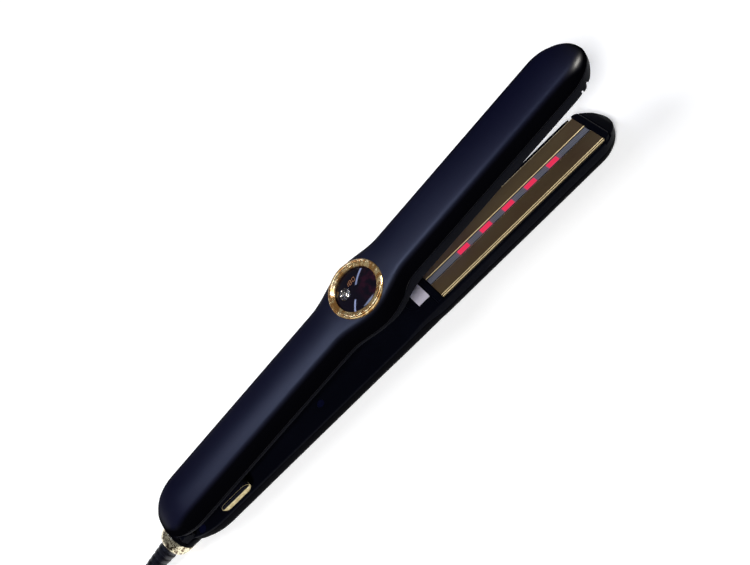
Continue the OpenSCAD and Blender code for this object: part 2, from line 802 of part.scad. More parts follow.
module lamp_board() {
    color([0.1, 0.35, 0.2]) lower()
        box(plate_x0 + 4, plate_x1 - 4, -strip_w/2 + 0.1, strip_w/2 - 0.1, lamp_seat, heater_w1);
}

module lamps() {
    color([1, 0.15, 0.3]) lower() for (i = [0:lamp_count - 1])
        translate([plate_x0 + plate_l/2 + (i - (lamp_count - 1)/2)*lamp_pitch, 0, 0])
            box(-lamp_hl, lamp_hl, -lamp_hw, lamp_hw, lamp_top, lamp_seat - seat/2);
}

module lower_heaters() {
    color([0.9, 0.88, 0.8]) lower() for (s = [-1, 1])
        box(heater_x0, heater_x1,
            s < 0 ? -plates_hw + 1.6 : strip_w/2 + 0.6, s < 0 ? -strip_w/2 - 0.6 : plates_hw - 1.6,
            plate_w1 + seat, heater_w1);
}

module lower_heater_tray() {
    color([0.75, 0.75, 0.77]) lower() heater_tray();
}

module thermal_fuse() {
    color([0.8, 0.8, 0.75]) lower() translate([heater_x1 + 2, plates_hw/2, plate_w1 + seat + 0.7])
        rotate([0, 90, 0]) cylinder(h = 9, r = 0.7);
}

// Upper arm
module upper_shell() {
    color([0.04, 0.04, 0.09]) upper() difference() {
        union() {
            casing(true);
            intersection() {
                casing_form(true, wall/2, 0, dial_x - swell_l, dial_x + swell_l);
                rod(dial_x, 0, dial_seat_w - flange_t, dial_seat_w + 1.6, ring_d/2 + 0.9);
            }
        }
        rod(dial_x, 0, dial_seat_w, arm_depth + 2, ring_d/2 + seat);
        rod(dial_x, 0, dial_seat_w - 4, arm_depth + 2, ring_bore/2 + 0.1);
    }
}

module upper_frame() {
    color([0.16, 0.15, 0.18]) upper() {
        frame(true, upper_cover_x0);
        for (y0 = [-knuckle_y1, knuckle_y0])
            hinge_lug(y0, y0 + knuckle_y1 - knuckle_y0, pin_d/2 + pin_clear);
    }
}

module upper_carrier() {
    color([0.16, 0.15, 0.18]) upper() carrier();
}

module upper_cushions() {
    color([0.75, 0.3, 0.2]) upper() cushions();
}

module upper_screws() {
    color([0.6, 0.6, 0.62]) upper() screws();
}

module upper_screw_caps() {
    color([0.1, 0.12, 0.2]) upper() screw_caps();
}

// Steel staple under the upper cover that the lock's lip catches
module lock_catch() {
    color([0.7, 0.7, 0.72]) upper() difference() {
        box(catch_x0, catch_x0 + catch_l, -catch_hw, catch_hw, catch_w, handle_face - seat);
        box(catch_x0 - 1, catch_x0 + catch_l + 1, -catch_hw + catch_leg, catch_hw - catch_leg,
            catch_w + catch_bar, handle_face + 1);
    }
}

module dial_ring() {
    r = ring_d/2;
    b = ring_bore/2;
    base = dial_seat_w + seat;
    crest = arm_depth + ring_rise;
    color([0.85, 0.62, 0.28]) upper() translate([dial_x, 0, 0]) rotate_extrude() polygon([
        [r, base], [r, crest - 1], [r - 0.25, crest - 0.45], [r - 0.9, crest - 0.05], [r - 1.25, crest],
        [r - 1.7, crest - 0.15], [b + 0.5, crest - 0.75], [b, crest - 1.0],
        [b, base + 1.3], [b + 0.5, base + 1.3], [b + 0.5, base]
    ]);
}

// Domed glass, with a hole for the button
module dial_glass() {
    dome_hw = ring_bore/2 - fit_gap;
    dome_r = (dome_hw*dome_hw + glass_rise*glass_rise)/(2*glass_rise);
    color([0.04, 0.03, 0.07]) upper() translate([dial_x, 0, 0]) difference() {
        union() {
            rod(0, 0, glass_base, glass_base + glass_edge + seat, glass_r);
            intersection() {
                rod(0, 0, glass_base, glass_top + 1, dome_hw);
                translate([0, 0, glass_top - dome_r]) sphere(r = dome_r, $fn = 96);
            }
        }
        rod(button_x, button_y, glass_base - 1, glass_top + 1, button_d/2 + 0.15);
    }
}

module display_board() {
    color([0.1, 0.35, 0.2]) upper() rod(dial_x, 0, display_w, display_top - seat, ring_bore/2 + 1.6);
}

// Display, the switch under the button, and the connector under the board
module display_parts() {
    switch_w = glass_base - button_flange_t - button_travel - seat;
    color([0.12, 0.1, 0.1]) upper() translate([dial_x, 0, 0]) {
        box(-1.5, 7.5, -5, 7, display_top, glass_base - seat);
        box(button_x - 2, button_x + 2, button_y - 2, button_y + 2, display_top, switch_w);
        box(connector_x0, connector_x1, -3.5, 3.5, display_w - connector_h, display_w - seat);
    }
}

module upper_leads() {
    run_w = handle_part + 4;
    color([0.7, 0.1, 0.1]) upper() for (s = [-1, 1]) {
        lead([[hinge_lead_x, s*hinge_lead_y, hinge_lead_w + 0.1],
              [hinge_lead_x, s*hinge_lead_y, hinge_lead_w + 1.2],
              [lock_x + 4, s*3.6, run_w], [screw_b_x - 46, s*1.6, run_w], [screw_b_x - 16, s*1.15, run_w],
              [screw_b_x + 10, s*1.15, run_w], [dial_x - 12, s*drop_y, connector_w],
              [dial_x + connector_x0 - 2, s*drop_y, connector_w],
              [dial_x + connector_x0 - seat, s*drop_y, connector_w]], lead_r);
        lead([[dial_x + connector_x1 + seat, s*drop_y, connector_w],
              [dial_x + connector_x1 + 2, s*drop_y, connector_w],
              [dial_x + 11, s*4, connector_w], [plate_x0 - 6, s*loom_y, carrier_w0 + 3.8],
              [drop_x, s*drop_y, drop_w1], [drop_x, s*drop_y, drop_w0]], lead_r);
    }
}

module upper_plate() {
    color([0.62, 0.52, 0.36]) upper() plate(-plates_hw, plates_hw, plate_bevel, plate_bevel);
}

module upper_heater() {
    color([0.9, 0.88, 0.8]) upper()
        box(heater_x0, heater_x1, -plates_hw + 3, plates_hw - 3, plate_w1 + seat, heater_w1);
}

module upper_heater_tray() {
    color([0.75, 0.75, 0.77]) upper() heater_tray();
}

module heat_sensor() {
    color([0.15, 0.15, 0.17]) upper() rod(heater_x1 + 5, 0, plate_w1 + seat, heater_w1, 1.5);
}

module power_button() {
    top = glass_top + 0.15;
    r = button_d/2;
    flange_w = glass_base - button_flange_t;
    color([0.75, 0.75, 0.76]) upper() translate([dial_x + button_x, button_y, 0]) rotate_extrude() polygon([
        [0, flange_w], [r + 0.6, flange_w], [r + 0.6, glass_base - seat], [r, glass_base - seat],
        [r, top - 0.5], [r - 0.5, top], [r - 0.9, top - 0.15], [0, top - 0.15]
    ]);
}

// Lock: a bar that slides on the lower cover, with a cap at each side of the arm
module lock_slider() {
    bar_hw = lock_y1 - lock_cap_t - seat;
    color([0.03, 0.03, 0.04]) lower() {
        box(lock_x + 0.8, lock_x + lock_l - 0.8, -bar_hw, bar_hw, -lock_top + 0.5, handle_face - fit_gap);
        // lip over the catch
        box(lock_x + lock_l - 1, lock_x + lock_l + lip_l, -lip_hw, lip_hw, -0.45, -0.45 + lip_t);
        // neck through the slot and the foot behind the cover
        box(foot_x0, foot_x1, -foot_neck_hw, foot_neck_hw, handle_face - 0.5, handle_part + 0.6);
        box(foot_x0, foot_x1, -foot_hw, foot_hw, handle_part + fit_gap, handle_part + 1.3);
    }
}

module lock_cap(y0, y1, out) {
    h = lock_top + handle_face - fit_gap;
    c = (handle_face - fit_gap - lock_top)/2;
    inset = 0.5;
    lower() {
        across(out < 0 ? y0 + inset : y0, out < 0 ? y1 : y1 - inset)
            stadium(lock_x, lock_x + lock_l, c, h/2);
        across(y0, y1) stadium(lock_x + inset, lock_x + lock_l - inset, c, h/2 - inset);
    }
}

module stadium(x0, x1, w, r) {
    translate([x0 + r, w]) circle(r = r);
    translate([x1 - r, w]) circle(r = r);
    translate([x0 + r, w - r]) square([x1 - x0 - 2*r, 2*r]);
}

module lock_cap_near() {
    color([0.85, 0.65, 0.3]) lock_cap(-lock_y1, -lock_y1 + lock_cap_t, -1);
}

module lock_cap_far() {
    color([0.85, 0.65, 0.3]) lock_cap(lock_y1 - lock_cap_t, lock_y1, 1);
}

// Turning half of the swivel, held between the spigot and the collar's lip
module swivel_bush() {
    color([0.1, 0.1, 0.11]) lower() along_neck() {
        translate([0, 0, spigot_l + fit_gap]) cylinder(h = bush_t, d = spigot_d - 2*fit_gap);
        translate([0, 0, spigot_l + fit_gap])
            cylinder(h = relief_s0 - spigot_l - fit_gap, d = relief_d + 1.2);
    }
}

module strain_relief() {
    pitch = (relief_l - relief_end)/rib_count;
    function body_r(s) = relief_d/2 + (relief_tip_d/2 - relief_d/2)*s/relief_l;
    color([0.05, 0.05, 0.07]) lower() along_neck() translate([0, 0, relief_s0])
        rotate_extrude() polygon(concat([[0, 0]],
        [for (i = [0:rib_count - 1]) let (s = i*pitch)
            each [[body_r(s), s], [body_r(s + pitch*0.55), s + pitch*0.55],
                  [body_r(s + pitch*0.55) - rib_depth, s + pitch*0.68],
                  [body_r(s + pitch) - rib_depth, s + pitch*0.94]]],
        [[body_r(relief_l - relief_end), relief_l - relief_end], [relief_tip_d/2, relief_l], [0, relief_l]]
    ));
}

// The hank after t turns: it spirals in and out, climbs a layer in the middle of a run, and each turn is
// half a run, a fold, a run, a fold and half a run
function hank_spread(t) =
    t > hank_layers*hank_turns ? 1 + t/hank_turns - hank_layers : abs(t/hank_turns % 2 - 1);
function hank_level(t) =
    let (k = round(t/hank_turns))
    k < 1 ? 0 : k > hank_layers - 1 ? hank_layers - 1 : k - 1 + min(max((t - k*hank_turns)*6 + 0.5, 0), 1);
function hank_point(t) =
    let (
        f = (t + 1)*24 % 24,
        along = f <= 2 ? -f/4 : f >= 22 ? (24 - f)/4 : f <= 10 ? -0.5 : f <= 14 ? (f - 12)/4 : 0.5,
        turn = f <= 2 || f >= 22 ? 90 : f <= 10 ? 90 + (f - 2)*22.5 : f <= 14 ? 270 : 270 + (f - 14)*22.5,
        r = hank_r + hank_pitch*hank_turns*(hank_spread(t) - 0.5) - hank_draw*(1 + cos(360*along))/2
    )
    [hank_x + hank_run*along + r*cos(turn), hank_y + r*sin(turn), hank_z + hank_pitch*hank_level(t)];
hank_turn_path = [for (i = [-2:hank_layers*hank_turns*hank_rings + 2]) hank_point(i/hank_rings)];
hank_start = hank_turn_path[0] + [cord_d, 0, 0];
hank_end = hank_turn_path[len(hank_turn_path) - 1] - [cord_d, 0, 0];
hank_path = concat([hank_start], hank_turn_path, [hank_end]);

// Least gap of the hank to itself, measured between points at least half a turn apart
hank_gap = min([for (i = [0:len(hank_path) - 1]) for (j = [i + hank_rings/2:1:len(hank_path) - 1])
    norm(hank_path[i] - hank_path[j])]) - cord_d;
echo(hank_gap = hank_gap);

// Cord: out of the strain relief, down to the floor, into the hank, and round over it to the plug
exit_point = [hinge_x + exit_x, 0, meet_z - exit_w];
exit_dir = [-cos(neck_fall), 0, -sin(neck_fall)];
lead_path = concat(
    [exit_point, exit_point + 2*exit_dir],
    [[-170, 0, 3.4], [-175.8, 0.5, 3.1], [-181.3, 2.1, cord_z], [-186.5, 4.8, cord_z], [-191, 8.25, cord_z],
     [-195.5, 11.7, 3.1], [-200.7, 14.4, 3.3], [-206.2, 16, 3.55], [-212, 16.5, 3.75]],
    [hank_start]);
tail_path = concat(
    [hank_end],
    [[-290, 16.5, 23.55], [-296.3, 15.7, 23.7], [-302.1, 13.3, 24.3], [-307.1, 9.4, 25.2],
     [-311, 4.4, 26.3], [-313.4, -1.5, 27.5], [-314.2, -7.8, 28.9], [-313.4, -14, 30.2],
     [-311, -19.9, 31.4], [-307.1, -24.9, 32.5], [-302.1, -28.7, 33.4], [-296.3, -31.2, 34],
     [-290, -32, 34.2]],
    [[plug_x - 4, plug_y, plug_z], [plug_x, plug_y, plug_z]]);

module cord_lead() {
    color([0.03, 0.03, 0.04]) tube(lead_path, cord_d/2, 8);
}

module cord_hank() {
    color([0.03, 0.03, 0.04]) tube(hank_path, cord_d/2, hank_sides);
}

module cord_tail() {
    color([0.03, 0.03, 0.04]) tube(tail_path, cord_d/2, 8);
}

// Strap round the hank's waist, clear of the runs as they spread under it
waist = [for (p = hank_turn_path) if (abs(p[0] - hank_x) < e) p[1]];
waist_room = cord_d/2 + hank_draw*tie_l/hank_run + 4*fit_gap;
module cord_tie() {
    z0 = hank_z - cord_d/2 - fit_gap;
    z1 = hank_z + (hank_layers - 1)*hank_pitch + cord_d/2 + fit_gap;
    color([0.02, 0.02, 0.02]) translate([hank_x - tie_l/2, 0, 0]) rotate([90, 0, 90]) linear_extrude(tie_l)
        difference() {
            rounded_slab(min(waist) - waist_room, max(waist) + waist_room, z0, z1, cord_d/2, tie_t);
            rounded_slab(min(waist) - waist_room, max(waist) + waist_room, z0, z1, cord_d/2, 0);
        }
}

// Rectangle with rounded corners, grown on all sides
module rounded_slab(x0, x1, y0, y1, r, grow) {
    translate([x0 - grow, y0 + r]) square([x1 - x0 + 2*grow, y1 - y0 - 2*r]);
    translate([x0 + r, y0 - grow]) square([x1 - x0 - 2*r, y1 - y0 + 2*grow]);
    for (x = [x0 + r, x1 - r]) for (y = [y0 + r, y1 - r]) translate([x, y]) circle(r = r + grow);
}

// The plug's own frame: z along the cord into the plug, x across the pins
module in_plug() {
    translate([plug_x, plug_y, plug_z]) rotate([90, 0, 90]) children();
}

module plug_body() {
    end = plug_relief_l + plug_l;
    hw = plug_w/2;
    neck_z = plug_relief_l - 1;
    shoulder_z = plug_relief_l + plug_shoulder;
    color([0.04, 0.04, 0.05]) in_plug() difference() {
        union() {
            rotate([90, 0, 0]) translate([0, 0, -plug_t/2]) linear_extrude(plug_t) polygon([
                [-plug_neck_hw, neck_z], [plug_neck_hw, neck_z], [hw, shoulder_z], [hw, end - plug_corner],
                [hw - plug_corner, end], [plug_corner - hw, end], [-hw, end - plug_corner], [-hw, shoulder_z]
            ]);
            translate([0, 0, seat]) rotate_extrude() polygon([
                [0, 0], [cord_d/2 + 0.5, 0], [cord_d/2 + 2.2, plug_relief_l], [0, plug_relief_l]
            ]);
        }
        for (s = [-1, 1]) translate([s*pin_pitch/2, 0, end - pin_in])
            cylinder(h = 2*pin_in, d = plug_pin_d + 2*seat);
    }
}

module plug_pins() {
    color([0.8, 0.78, 0.7]) in_plug() for (s = [-1, 1])
        translate([s*pin_pitch/2, 0, plug_relief_l + plug_l - pin_in + seat]) {
            cylinder(h = pin_in + pin_out, d = plug_pin_d);
            translate([0, 0, pin_in + pin_out]) rotate_extrude() polygon([
                [0, 0], [plug_pin_d/2, 0], [plug_pin_d/2 - 1, pin_tip], [0, pin_tip]
            ]);
        }
}

lower_shell();
lower_frame();
lower_carrier();
lower_cushions();
lower_screws();
lower_screw_caps();
sticker();
hinge_pin();
hinge_caps();
hinge_spring();
power_board();
power_parts();
lower_leads();
hinge_leads();
cord_socket();
cord_collar();
lower_plate_near();
lower_plate_far();
lamp_lens();
lamp_board();
lamps();
lower_heaters();
lower_heater_tray();
thermal_fuse();
upper_shell();
upper_frame();
upper_carrier();
upper_cushions();
upper_screws();
upper_screw_caps();
lock_catch();
dial_ring();
dial_glass();
display_board();
display_parts();
upper_leads();
upper_plate();
upper_heater();
upper_heater_tray();
heat_sensor();
power_button();
lock_slider();
lock_cap_near();
lock_cap_far();
swivel_bush();
strain_relief();
cord_lead();
cord_hank();
cord_tail();
cord_tie();
plug_body();
plug_pins();
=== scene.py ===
import json
import math
import bmesh
import bpy
from mathutils import Matrix, Vector


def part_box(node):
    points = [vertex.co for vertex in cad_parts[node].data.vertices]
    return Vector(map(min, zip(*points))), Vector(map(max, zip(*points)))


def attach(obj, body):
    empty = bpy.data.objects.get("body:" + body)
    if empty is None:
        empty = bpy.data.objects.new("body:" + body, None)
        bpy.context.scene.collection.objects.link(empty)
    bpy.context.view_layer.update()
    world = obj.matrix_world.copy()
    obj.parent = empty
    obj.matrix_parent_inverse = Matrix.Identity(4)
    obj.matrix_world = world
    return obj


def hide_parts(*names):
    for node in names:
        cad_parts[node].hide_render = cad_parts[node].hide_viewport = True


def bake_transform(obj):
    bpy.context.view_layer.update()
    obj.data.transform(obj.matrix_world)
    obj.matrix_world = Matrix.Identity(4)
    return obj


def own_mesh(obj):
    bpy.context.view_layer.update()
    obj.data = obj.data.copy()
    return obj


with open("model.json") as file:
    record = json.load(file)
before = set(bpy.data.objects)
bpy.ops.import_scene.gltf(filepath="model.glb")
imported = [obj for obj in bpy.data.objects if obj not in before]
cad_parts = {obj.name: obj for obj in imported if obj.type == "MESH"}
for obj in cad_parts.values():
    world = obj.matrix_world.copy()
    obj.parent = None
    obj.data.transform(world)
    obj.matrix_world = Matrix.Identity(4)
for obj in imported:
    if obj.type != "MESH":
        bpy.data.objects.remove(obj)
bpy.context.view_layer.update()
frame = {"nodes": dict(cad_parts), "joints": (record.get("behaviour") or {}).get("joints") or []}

# Place of the arms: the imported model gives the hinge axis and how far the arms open.
# Sizes are in millimetres, and each arm is drawn in its own frame: x along the arm from
# the hinge axis, y across it, w outward from the plane in which the plates meet.
MM = 0.001
hinge = next(joint for joint in frame["joints"] if joint["name"] == "arm_hinge")
hinge_point = Vector(hinge["pos_m"])
open_angle = math.radians(hinge["range_deg"][1])


def lower(x, y, w):
    return hinge_point + MM*Vector((x, y, -w))


def upper(x, y, w):
    cosine, sine = math.cos(open_angle), math.sin(open_angle)
    return hinge_point + MM*Vector((x*cosine - w*sine, y, x*sine + w*cosine))


# Camera: stands above the near side of the handle and looks down along the arms.
# Its focal length and its place come from the perspective of the two arms.
image_w = 750
focal_px = 808.65


def linked(name, data):
    """A new object in the scene."""
    made = bpy.data.objects.new(name, data)
    bpy.context.scene.collection.objects.link(made)
    return made


camera = linked("camera", bpy.data.cameras.new("camera"))
camera.data.sensor_width = 36
camera.data.lens = camera.data.sensor_width*focal_px/image_w
camera.location = hinge_point + MM*Vector((148.30, -229.273, 328.219))
camera.rotation_euler = [math.radians(angle) for angle in (29.15119, 24.80130, -37.81071)]
bpy.context.scene.camera = camera

# Cord: a round black flex, 6 mm thick, that leaves the strain relief, comes down to the
# table and is folded into a hank of four layers, drawn in at the waist by a strap; its end
# turns back over the hank to the plug. The route repeats the solid model's, in metres.
cord_d = 0.006
cord_exit = Vector((-0.163975, 0, 0.004351))
neck_fall = math.atan(1/6)
exit_dir = Vector((-math.cos(neck_fall), 0, -math.sin(neck_fall)))
hank_x, hank_y, hank_z = -0.250, -0.012, 0.00375
hank_run, hank_r, hank_draw = 0.060, 0.023, 0.004
hank_pitch = cord_d + 0.0006
hank_turns, hank_layers = 1.5, 4
turn_parts, fold_parts, run_parts = 24, 8, 4


def hank_point(t):
    """A point of the hank after t turns: half a run, a fold, a run, a fold and half a run."""
    if t > hank_layers*hank_turns:
        spread = 1 + t/hank_turns - hank_layers
    else:
        spread = abs(math.fmod(t/hank_turns, 2) - 1)
    layer = min(max(round(t/hank_turns), 0), hank_layers)
    climbed = min(max((t - layer*hank_turns)*6 + 0.5, 0), 1)
    level = min(max(layer - 1 + climbed*climbed*(3 - 2*climbed), 0), hank_layers - 1)
    part = (t + 1)*turn_parts % turn_parts
    middle, half_run, fold_angle = turn_parts/2, run_parts/2, 180/fold_parts
    if part <= half_run or part >= turn_parts - half_run:
        along, turn = (-part if part <= half_run else turn_parts - part)/run_parts, 90
    elif part <= half_run + fold_parts:
        along, turn = -0.5, 90 + (part - half_run)*fold_angle
    elif part <= middle + half_run:
        along, turn = (part - middle)/run_parts, 270
    else:
        along, turn = 0.5, 270 + (part - middle - half_run)*fold_angle
    r = hank_r + hank_pitch*hank_turns*(spread - 0.5) - hank_draw*(1 + math.cos(2*math.pi*along))/2
    turn = math.radians(turn)
    return Vector((hank_x + hank_run*along + r*math.cos(turn), hank_y + r*math.sin(turn),
                   hank_z + hank_pitch*level))


def eased(points, steps):
    """A smooth line through points, its bends shared by the length of the runs."""
    points = [Vector(point) for point in points]
    runs = [b - a for a, b in zip(points, points[1:])]
    ways = [runs[0].normalized()]
    ways += [(a.normalized() + b.normalized()).normalized() for a, b in zip(runs, runs[1:])]
    ways.append(runs[-1].normalized())
    line = []
    for i, run in enumerate(runs):
        for k in range(steps):
            t = k/steps
            start, end = ways[i]*run.length, ways[i + 1]*run.length
            line.append(points[i] + run*t*t*(3 - 2*t) + start*t*(1 - t)**2 - end*t*t*(1 - t))
    return line + [points[-1]]


hank_steps = 96
before_hank = hank_steps//12
last_step = round(hank_layers*hank_turns*hank_steps)
hank_route = [hank_point(i/hank_steps) for i in range(-before_hank, last_step + before_hank + 1)]
lead_route = [cord_exit, cord_exit + 0.002*exit_dir, (-0.170, 0, 0.0034), (-0.1758, 0.0005, 0.0031),
              (-0.1813, 0.0021, 0.00305), (-0.1865, 0.0048, 0.00305), (-0.191, 0.00825, 0.00305),
              (-0.1955, 0.0117, 0.0031), (-0.2007, 0.0144, 0.0033), (-0.2062, 0.016, 0.00355),
              (-0.212, 0.0165, 0.00375), (-0.214, 0.0165, 0.00375)]
tail_route = [(-0.286, 0.0165, 0.02355), (-0.290, 0.0165, 0.02355), (-0.2963, 0.0157, 0.0237),
              (-0.3021, 0.0133, 0.0243), (-0.3071, 0.0094, 0.0252), (-0.311, 0.0044, 0.0263),
              (-0.3134, -0.0015, 0.0275), (-0.3142, -0.0078, 0.0289), (-0.3134, -0.014, 0.0302),
              (-0.311, -0.0199, 0.0314), (-0.3071, -0.0249, 0.0325), (-0.3021, -0.0287, 0.0334),
              (-0.2963, -0.0312, 0.034), (-0.290, -0.032, 0.0342), (-0.284, -0.032, 0.0342),
              (-0.280, -0.032, 0.0342)]
cord_route = eased(lead_route, 4) + hank_route + eased(tail_route, 4)
cord_length = sum((b - a).length for a, b in zip(cord_route, cord_route[1:]))

flex = bpy.data.curves.new("cord", "CURVE")
flex.dimensions = "3D"
flex.bevel_depth = cord_d/2
flex.bevel_resolution = 6
flex.use_fill_caps = True
spline = flex.splines.new("POLY")
spline.points.add(len(cord_route) - 1)
for knot, point in zip(spline.points, cord_route):
    knot.co = (*point, 1)


class Value:
    """A number that varies over a surface: arithmetic on it adds Math nodes."""

    def __init__(self, finish, socket):
        self.finish = finish
        self.socket = socket

    def math(self, operation, first, second):
        return self.finish.node("ShaderNodeMath", {"operation": operation}, {0: first, 1: second})

    def __add__(self, other):
        return self.math("ADD", self, other)

    def __sub__(self, other):
        return self.math("SUBTRACT", self, other)

    def __rsub__(self, other):
        return self.math("SUBTRACT", other, self)

    def __mul__(self, other):
        return self.math("MULTIPLY", self, other)

    def __truediv__(self, other):
        return self.math("DIVIDE", self, other)

    def __pow__(self, other):
        return self.math("POWER", self, other)

    __radd__ = __add__
    __rmul__ = __mul__

    def size(self):
        return self.math("ABSOLUTE", self, 0)

    def wave(self, pitch):
        """A sine from -1 to 1 that comes back every pitch."""
        return self.math("SINE", self*(2*math.pi/pitch), 0)

    def share(self):
        """What is left of a number after its whole part."""
        return self.math("FRACT", self, 0)

    def least(self, other):
        return self.math("MINIMUM", self, other)

    def most(self, other):
        return self.math("MAXIMUM", self, other)

    def step(self, low, high):
        """0 below low, 1 above high, and a smooth rise between; falls if low is the higher."""
        settings = {"interpolation_type": "SMOOTHSTEP", "clamp": True}
        values = {"Value": self, "From Min": min(low, high), "From Max": max(low, high),
                  "To Min": float(low > high), "To Max": float(low < high)}
        return self.finish.node("ShaderNodeMapRange", settings, values)


class Finish:
    """A surface built from nodes; constants go straight to the shader's own sockets."""

    def __init__(self, name, **constants):
        self.material = bpy.data.materials.new(name)
        self.material.use_nodes = True
        self.tree = self.material.node_tree
        self.shader = self.tree.nodes["Principled BSDF"]
        for key, value in constants.items():
            self.feed(self.shader, key.replace("_", " "), value)

    def feed(self, node, key, value):
        if isinstance(value, Value):
            self.tree.links.new(value.socket, node.inputs[key])
        else:
            node.inputs[key].default_value = value

    def node(self, kind, settings={}, values={}, output=0):
        made = self.tree.nodes.new(kind)
        for key, value in settings.items():
            setattr(made, key, value)
        for key, value in values.items():
            self.feed(made, key, value)
        return Value(self, made.outputs[output])

    def set(self, key, value):
        self.feed(self.shader, key, value)

    def place(self):
        return self.node("ShaderNodeTexCoord", output="Object")

    def axes(self, arm=None):
        """x, y and z in millimetres, in the shared frame or in one arm's own."""
        spread = self.node("ShaderNodeSeparateXYZ", {}, {"Vector": self.place()}).socket.node
        x, y, z = [Value(self, spread.outputs[axis]) for axis in "XYZ"]
        if arm:
            x, z = x - hinge_point.x, z - hinge_point.z
        if arm == "lower":
            z = z*-1
        if arm == "upper":
            cosine, sine = math.cos(open_angle), math.sin(open_angle)
            x, z = x*cosine + z*sine, z*cosine - x*sine
        return [value*(1/MM) for value in (x, y, z)]

    def noise(self, grain, detail=2.0, roughness=0.5, stretch=(1, 1, 1), bend=0.0):
        """Noise whose features are about grain millimetres across."""
        place = self.node("ShaderNodeMapping", {}, {"Vector": self.place(), "Scale": stretch})
        return self.node("ShaderNodeTexNoise", {}, {"Vector": place, "Scale": 1/(grain*MM), "Detail": detail,
                                                    "Roughness": roughness, "Distortion": bend})

    def mix(self, factor, first, second):
        """A colour between two colours."""
        colours = [tone if isinstance(tone, Value) else (*tone, 1) for tone in (first, second)]
        return self.node("ShaderNodeMix", {"data_type": "RGBA"}, {0: factor, 6: colours[0], 7: colours[1]}, 2)

    def bump(self, height, depth, strength=1.0):
        """Relief whose full height is depth millimetres."""
        relief = {"Height": height, "Distance": depth*MM, "Strength": strength}
        self.set("Normal", self.node("ShaderNodeBump", {}, relief))

    def grained(self, grain, dark, light, rough, rougher, depth, tones=None, strength=0.4):
        """Roughness and relief that follow a grain, and two colours, mixed by it or by tones."""
        self.set("Base Color", self.mix(tones or grain, dark, light))
        self.set("Roughness", rough + rougher*grain)
        self.bump(grain, depth, strength)

    def dress(self, *nodes):
        """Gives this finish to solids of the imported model."""
        for name in nodes:
            frame["nodes"][name].material_slots[0].material = self.material


cord_finish = Finish("black cord jacket", Specular_IOR_Level=0.3)
cord_finish.grained(cord_finish.noise(1.2, 3), (0.004, 0.004, 0.006), (0.009, 0.009, 0.013), 0.42, 0.16, 0.02)
flex.materials.append(cord_finish.material)
cord = linked("mains_cord", flex)
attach(cord, "cord_swivel")
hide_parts("cord_lead", "cord_hank", "cord_tail")

# Plug: a moulded two-pin plug with chamfered shoulders and a short ribless relief, in the
# cord's own rubber, round two nickel-plated pins.
plug_finish = Finish("moulded plug", Base_Color=(0.007, 0.007, 0.009, 1), Specular_IOR_Level=0.35)
plug_grain = plug_finish.noise(0.4, 3)
plug_finish.set("Roughness", 0.4 + 0.2*plug_grain)
plug_finish.bump(plug_grain, 0.01, 0.4)


def shown(name, mesh, body, finish, replaces=(), sharp=35):
    """A piece of the object: smooth-shaded mesh, riding on its body, or on none."""
    piece = linked(name, mesh)
    mesh.materials.clear()
    mesh.materials.append(finish.material)
    mesh.polygons.foreach_set("use_smooth", [True]*len(mesh.polygons))
    mesh.set_sharp_from_angle(angle=math.radians(sharp))
    if body:
        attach(piece, body)
    if replaces:
        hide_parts(*replaces)
    return piece


def merged(node, flattened=False):
    """A copy of a solid's mesh with its triangles joined, and its flat faces whole if asked."""
    maker = bmesh.new()
    maker.from_mesh(frame["nodes"][node].data)
    bmesh.ops.remove_doubles(maker, verts=maker.verts, dist=1e-6)
    if flattened:
        bmesh.ops.dissolve_limit(maker, angle_limit=math.radians(0.5), verts=maker.verts, edges=maker.edges)
    mesh = bpy.data.meshes.new(node)
    maker.to_mesh(mesh)
    maker.free()
    return mesh


def settled(piece, *helpers):
    """The mesh of a piece after its modifiers; the piece and its helpers are removed."""
    mesh = bpy.data.meshes.new_from_object(piece.evaluated_get(bpy.context.evaluated_depsgraph_get()))
    for spent in (*helpers, piece):
        bpy.data.objects.remove(spent)
    return mesh


def softened(node, width, segments=3, limit=40):
    """A copy of a solid's mesh with its edges rounded by width millimetres."""
    copy = linked("copy", merged(node, flattened=True))
    bevel = copy.modifiers.new("edges", "BEVEL")
    bevel.width = width*MM
    bevel.segments = segments
    bevel.limit_method = "ANGLE"
    bevel.angle_limit = math.radians(limit)
    bevel.use_clamp_overlap = True
    return settled(copy)


plug = shown("moulded_plug", softened("plug_body", 1.1, 4), "cord_swivel", plug_finish, ["plug_body"])
pin_finish = Finish("nickel pins", Base_Color=(0.62, 0.6, 0.55, 1), Metallic=1.0)
pin_finish.set("Roughness", 0.2 + 0.15*pin_finish.noise(0.8, 3, stretch=(1, 0.2, 1)))
pins = frame["nodes"]["plug_pins"]
pins.material_slots[0].material = pin_finish.material

# Tie: a woven hook-and-loop strap, cut from tape. It is wrapped round the hank's waist and
# closed on itself.
strap_finish = Finish("woven strap", Specular_IOR_Level=0.2, Roughness=0.85)
strap_x, strap_y, strap_z = strap_finish.axes()
weft, warp = 0.9, 1.2
weave = (strap_y + strap_z).wave(weft)*strap_x.wave(warp)
strap_finish.set("Base Color", strap_finish.mix(weave*0.5 + 0.5, (0.006, 0.006, 0.008), (0.02, 0.02, 0.024)))
strap_finish.bump(weave, 0.1, 0.6)
tie = shown("hank_strap", softened("cord_tie", 0.12, 2), "cord_swivel", strap_finish, ["cord_tie"])

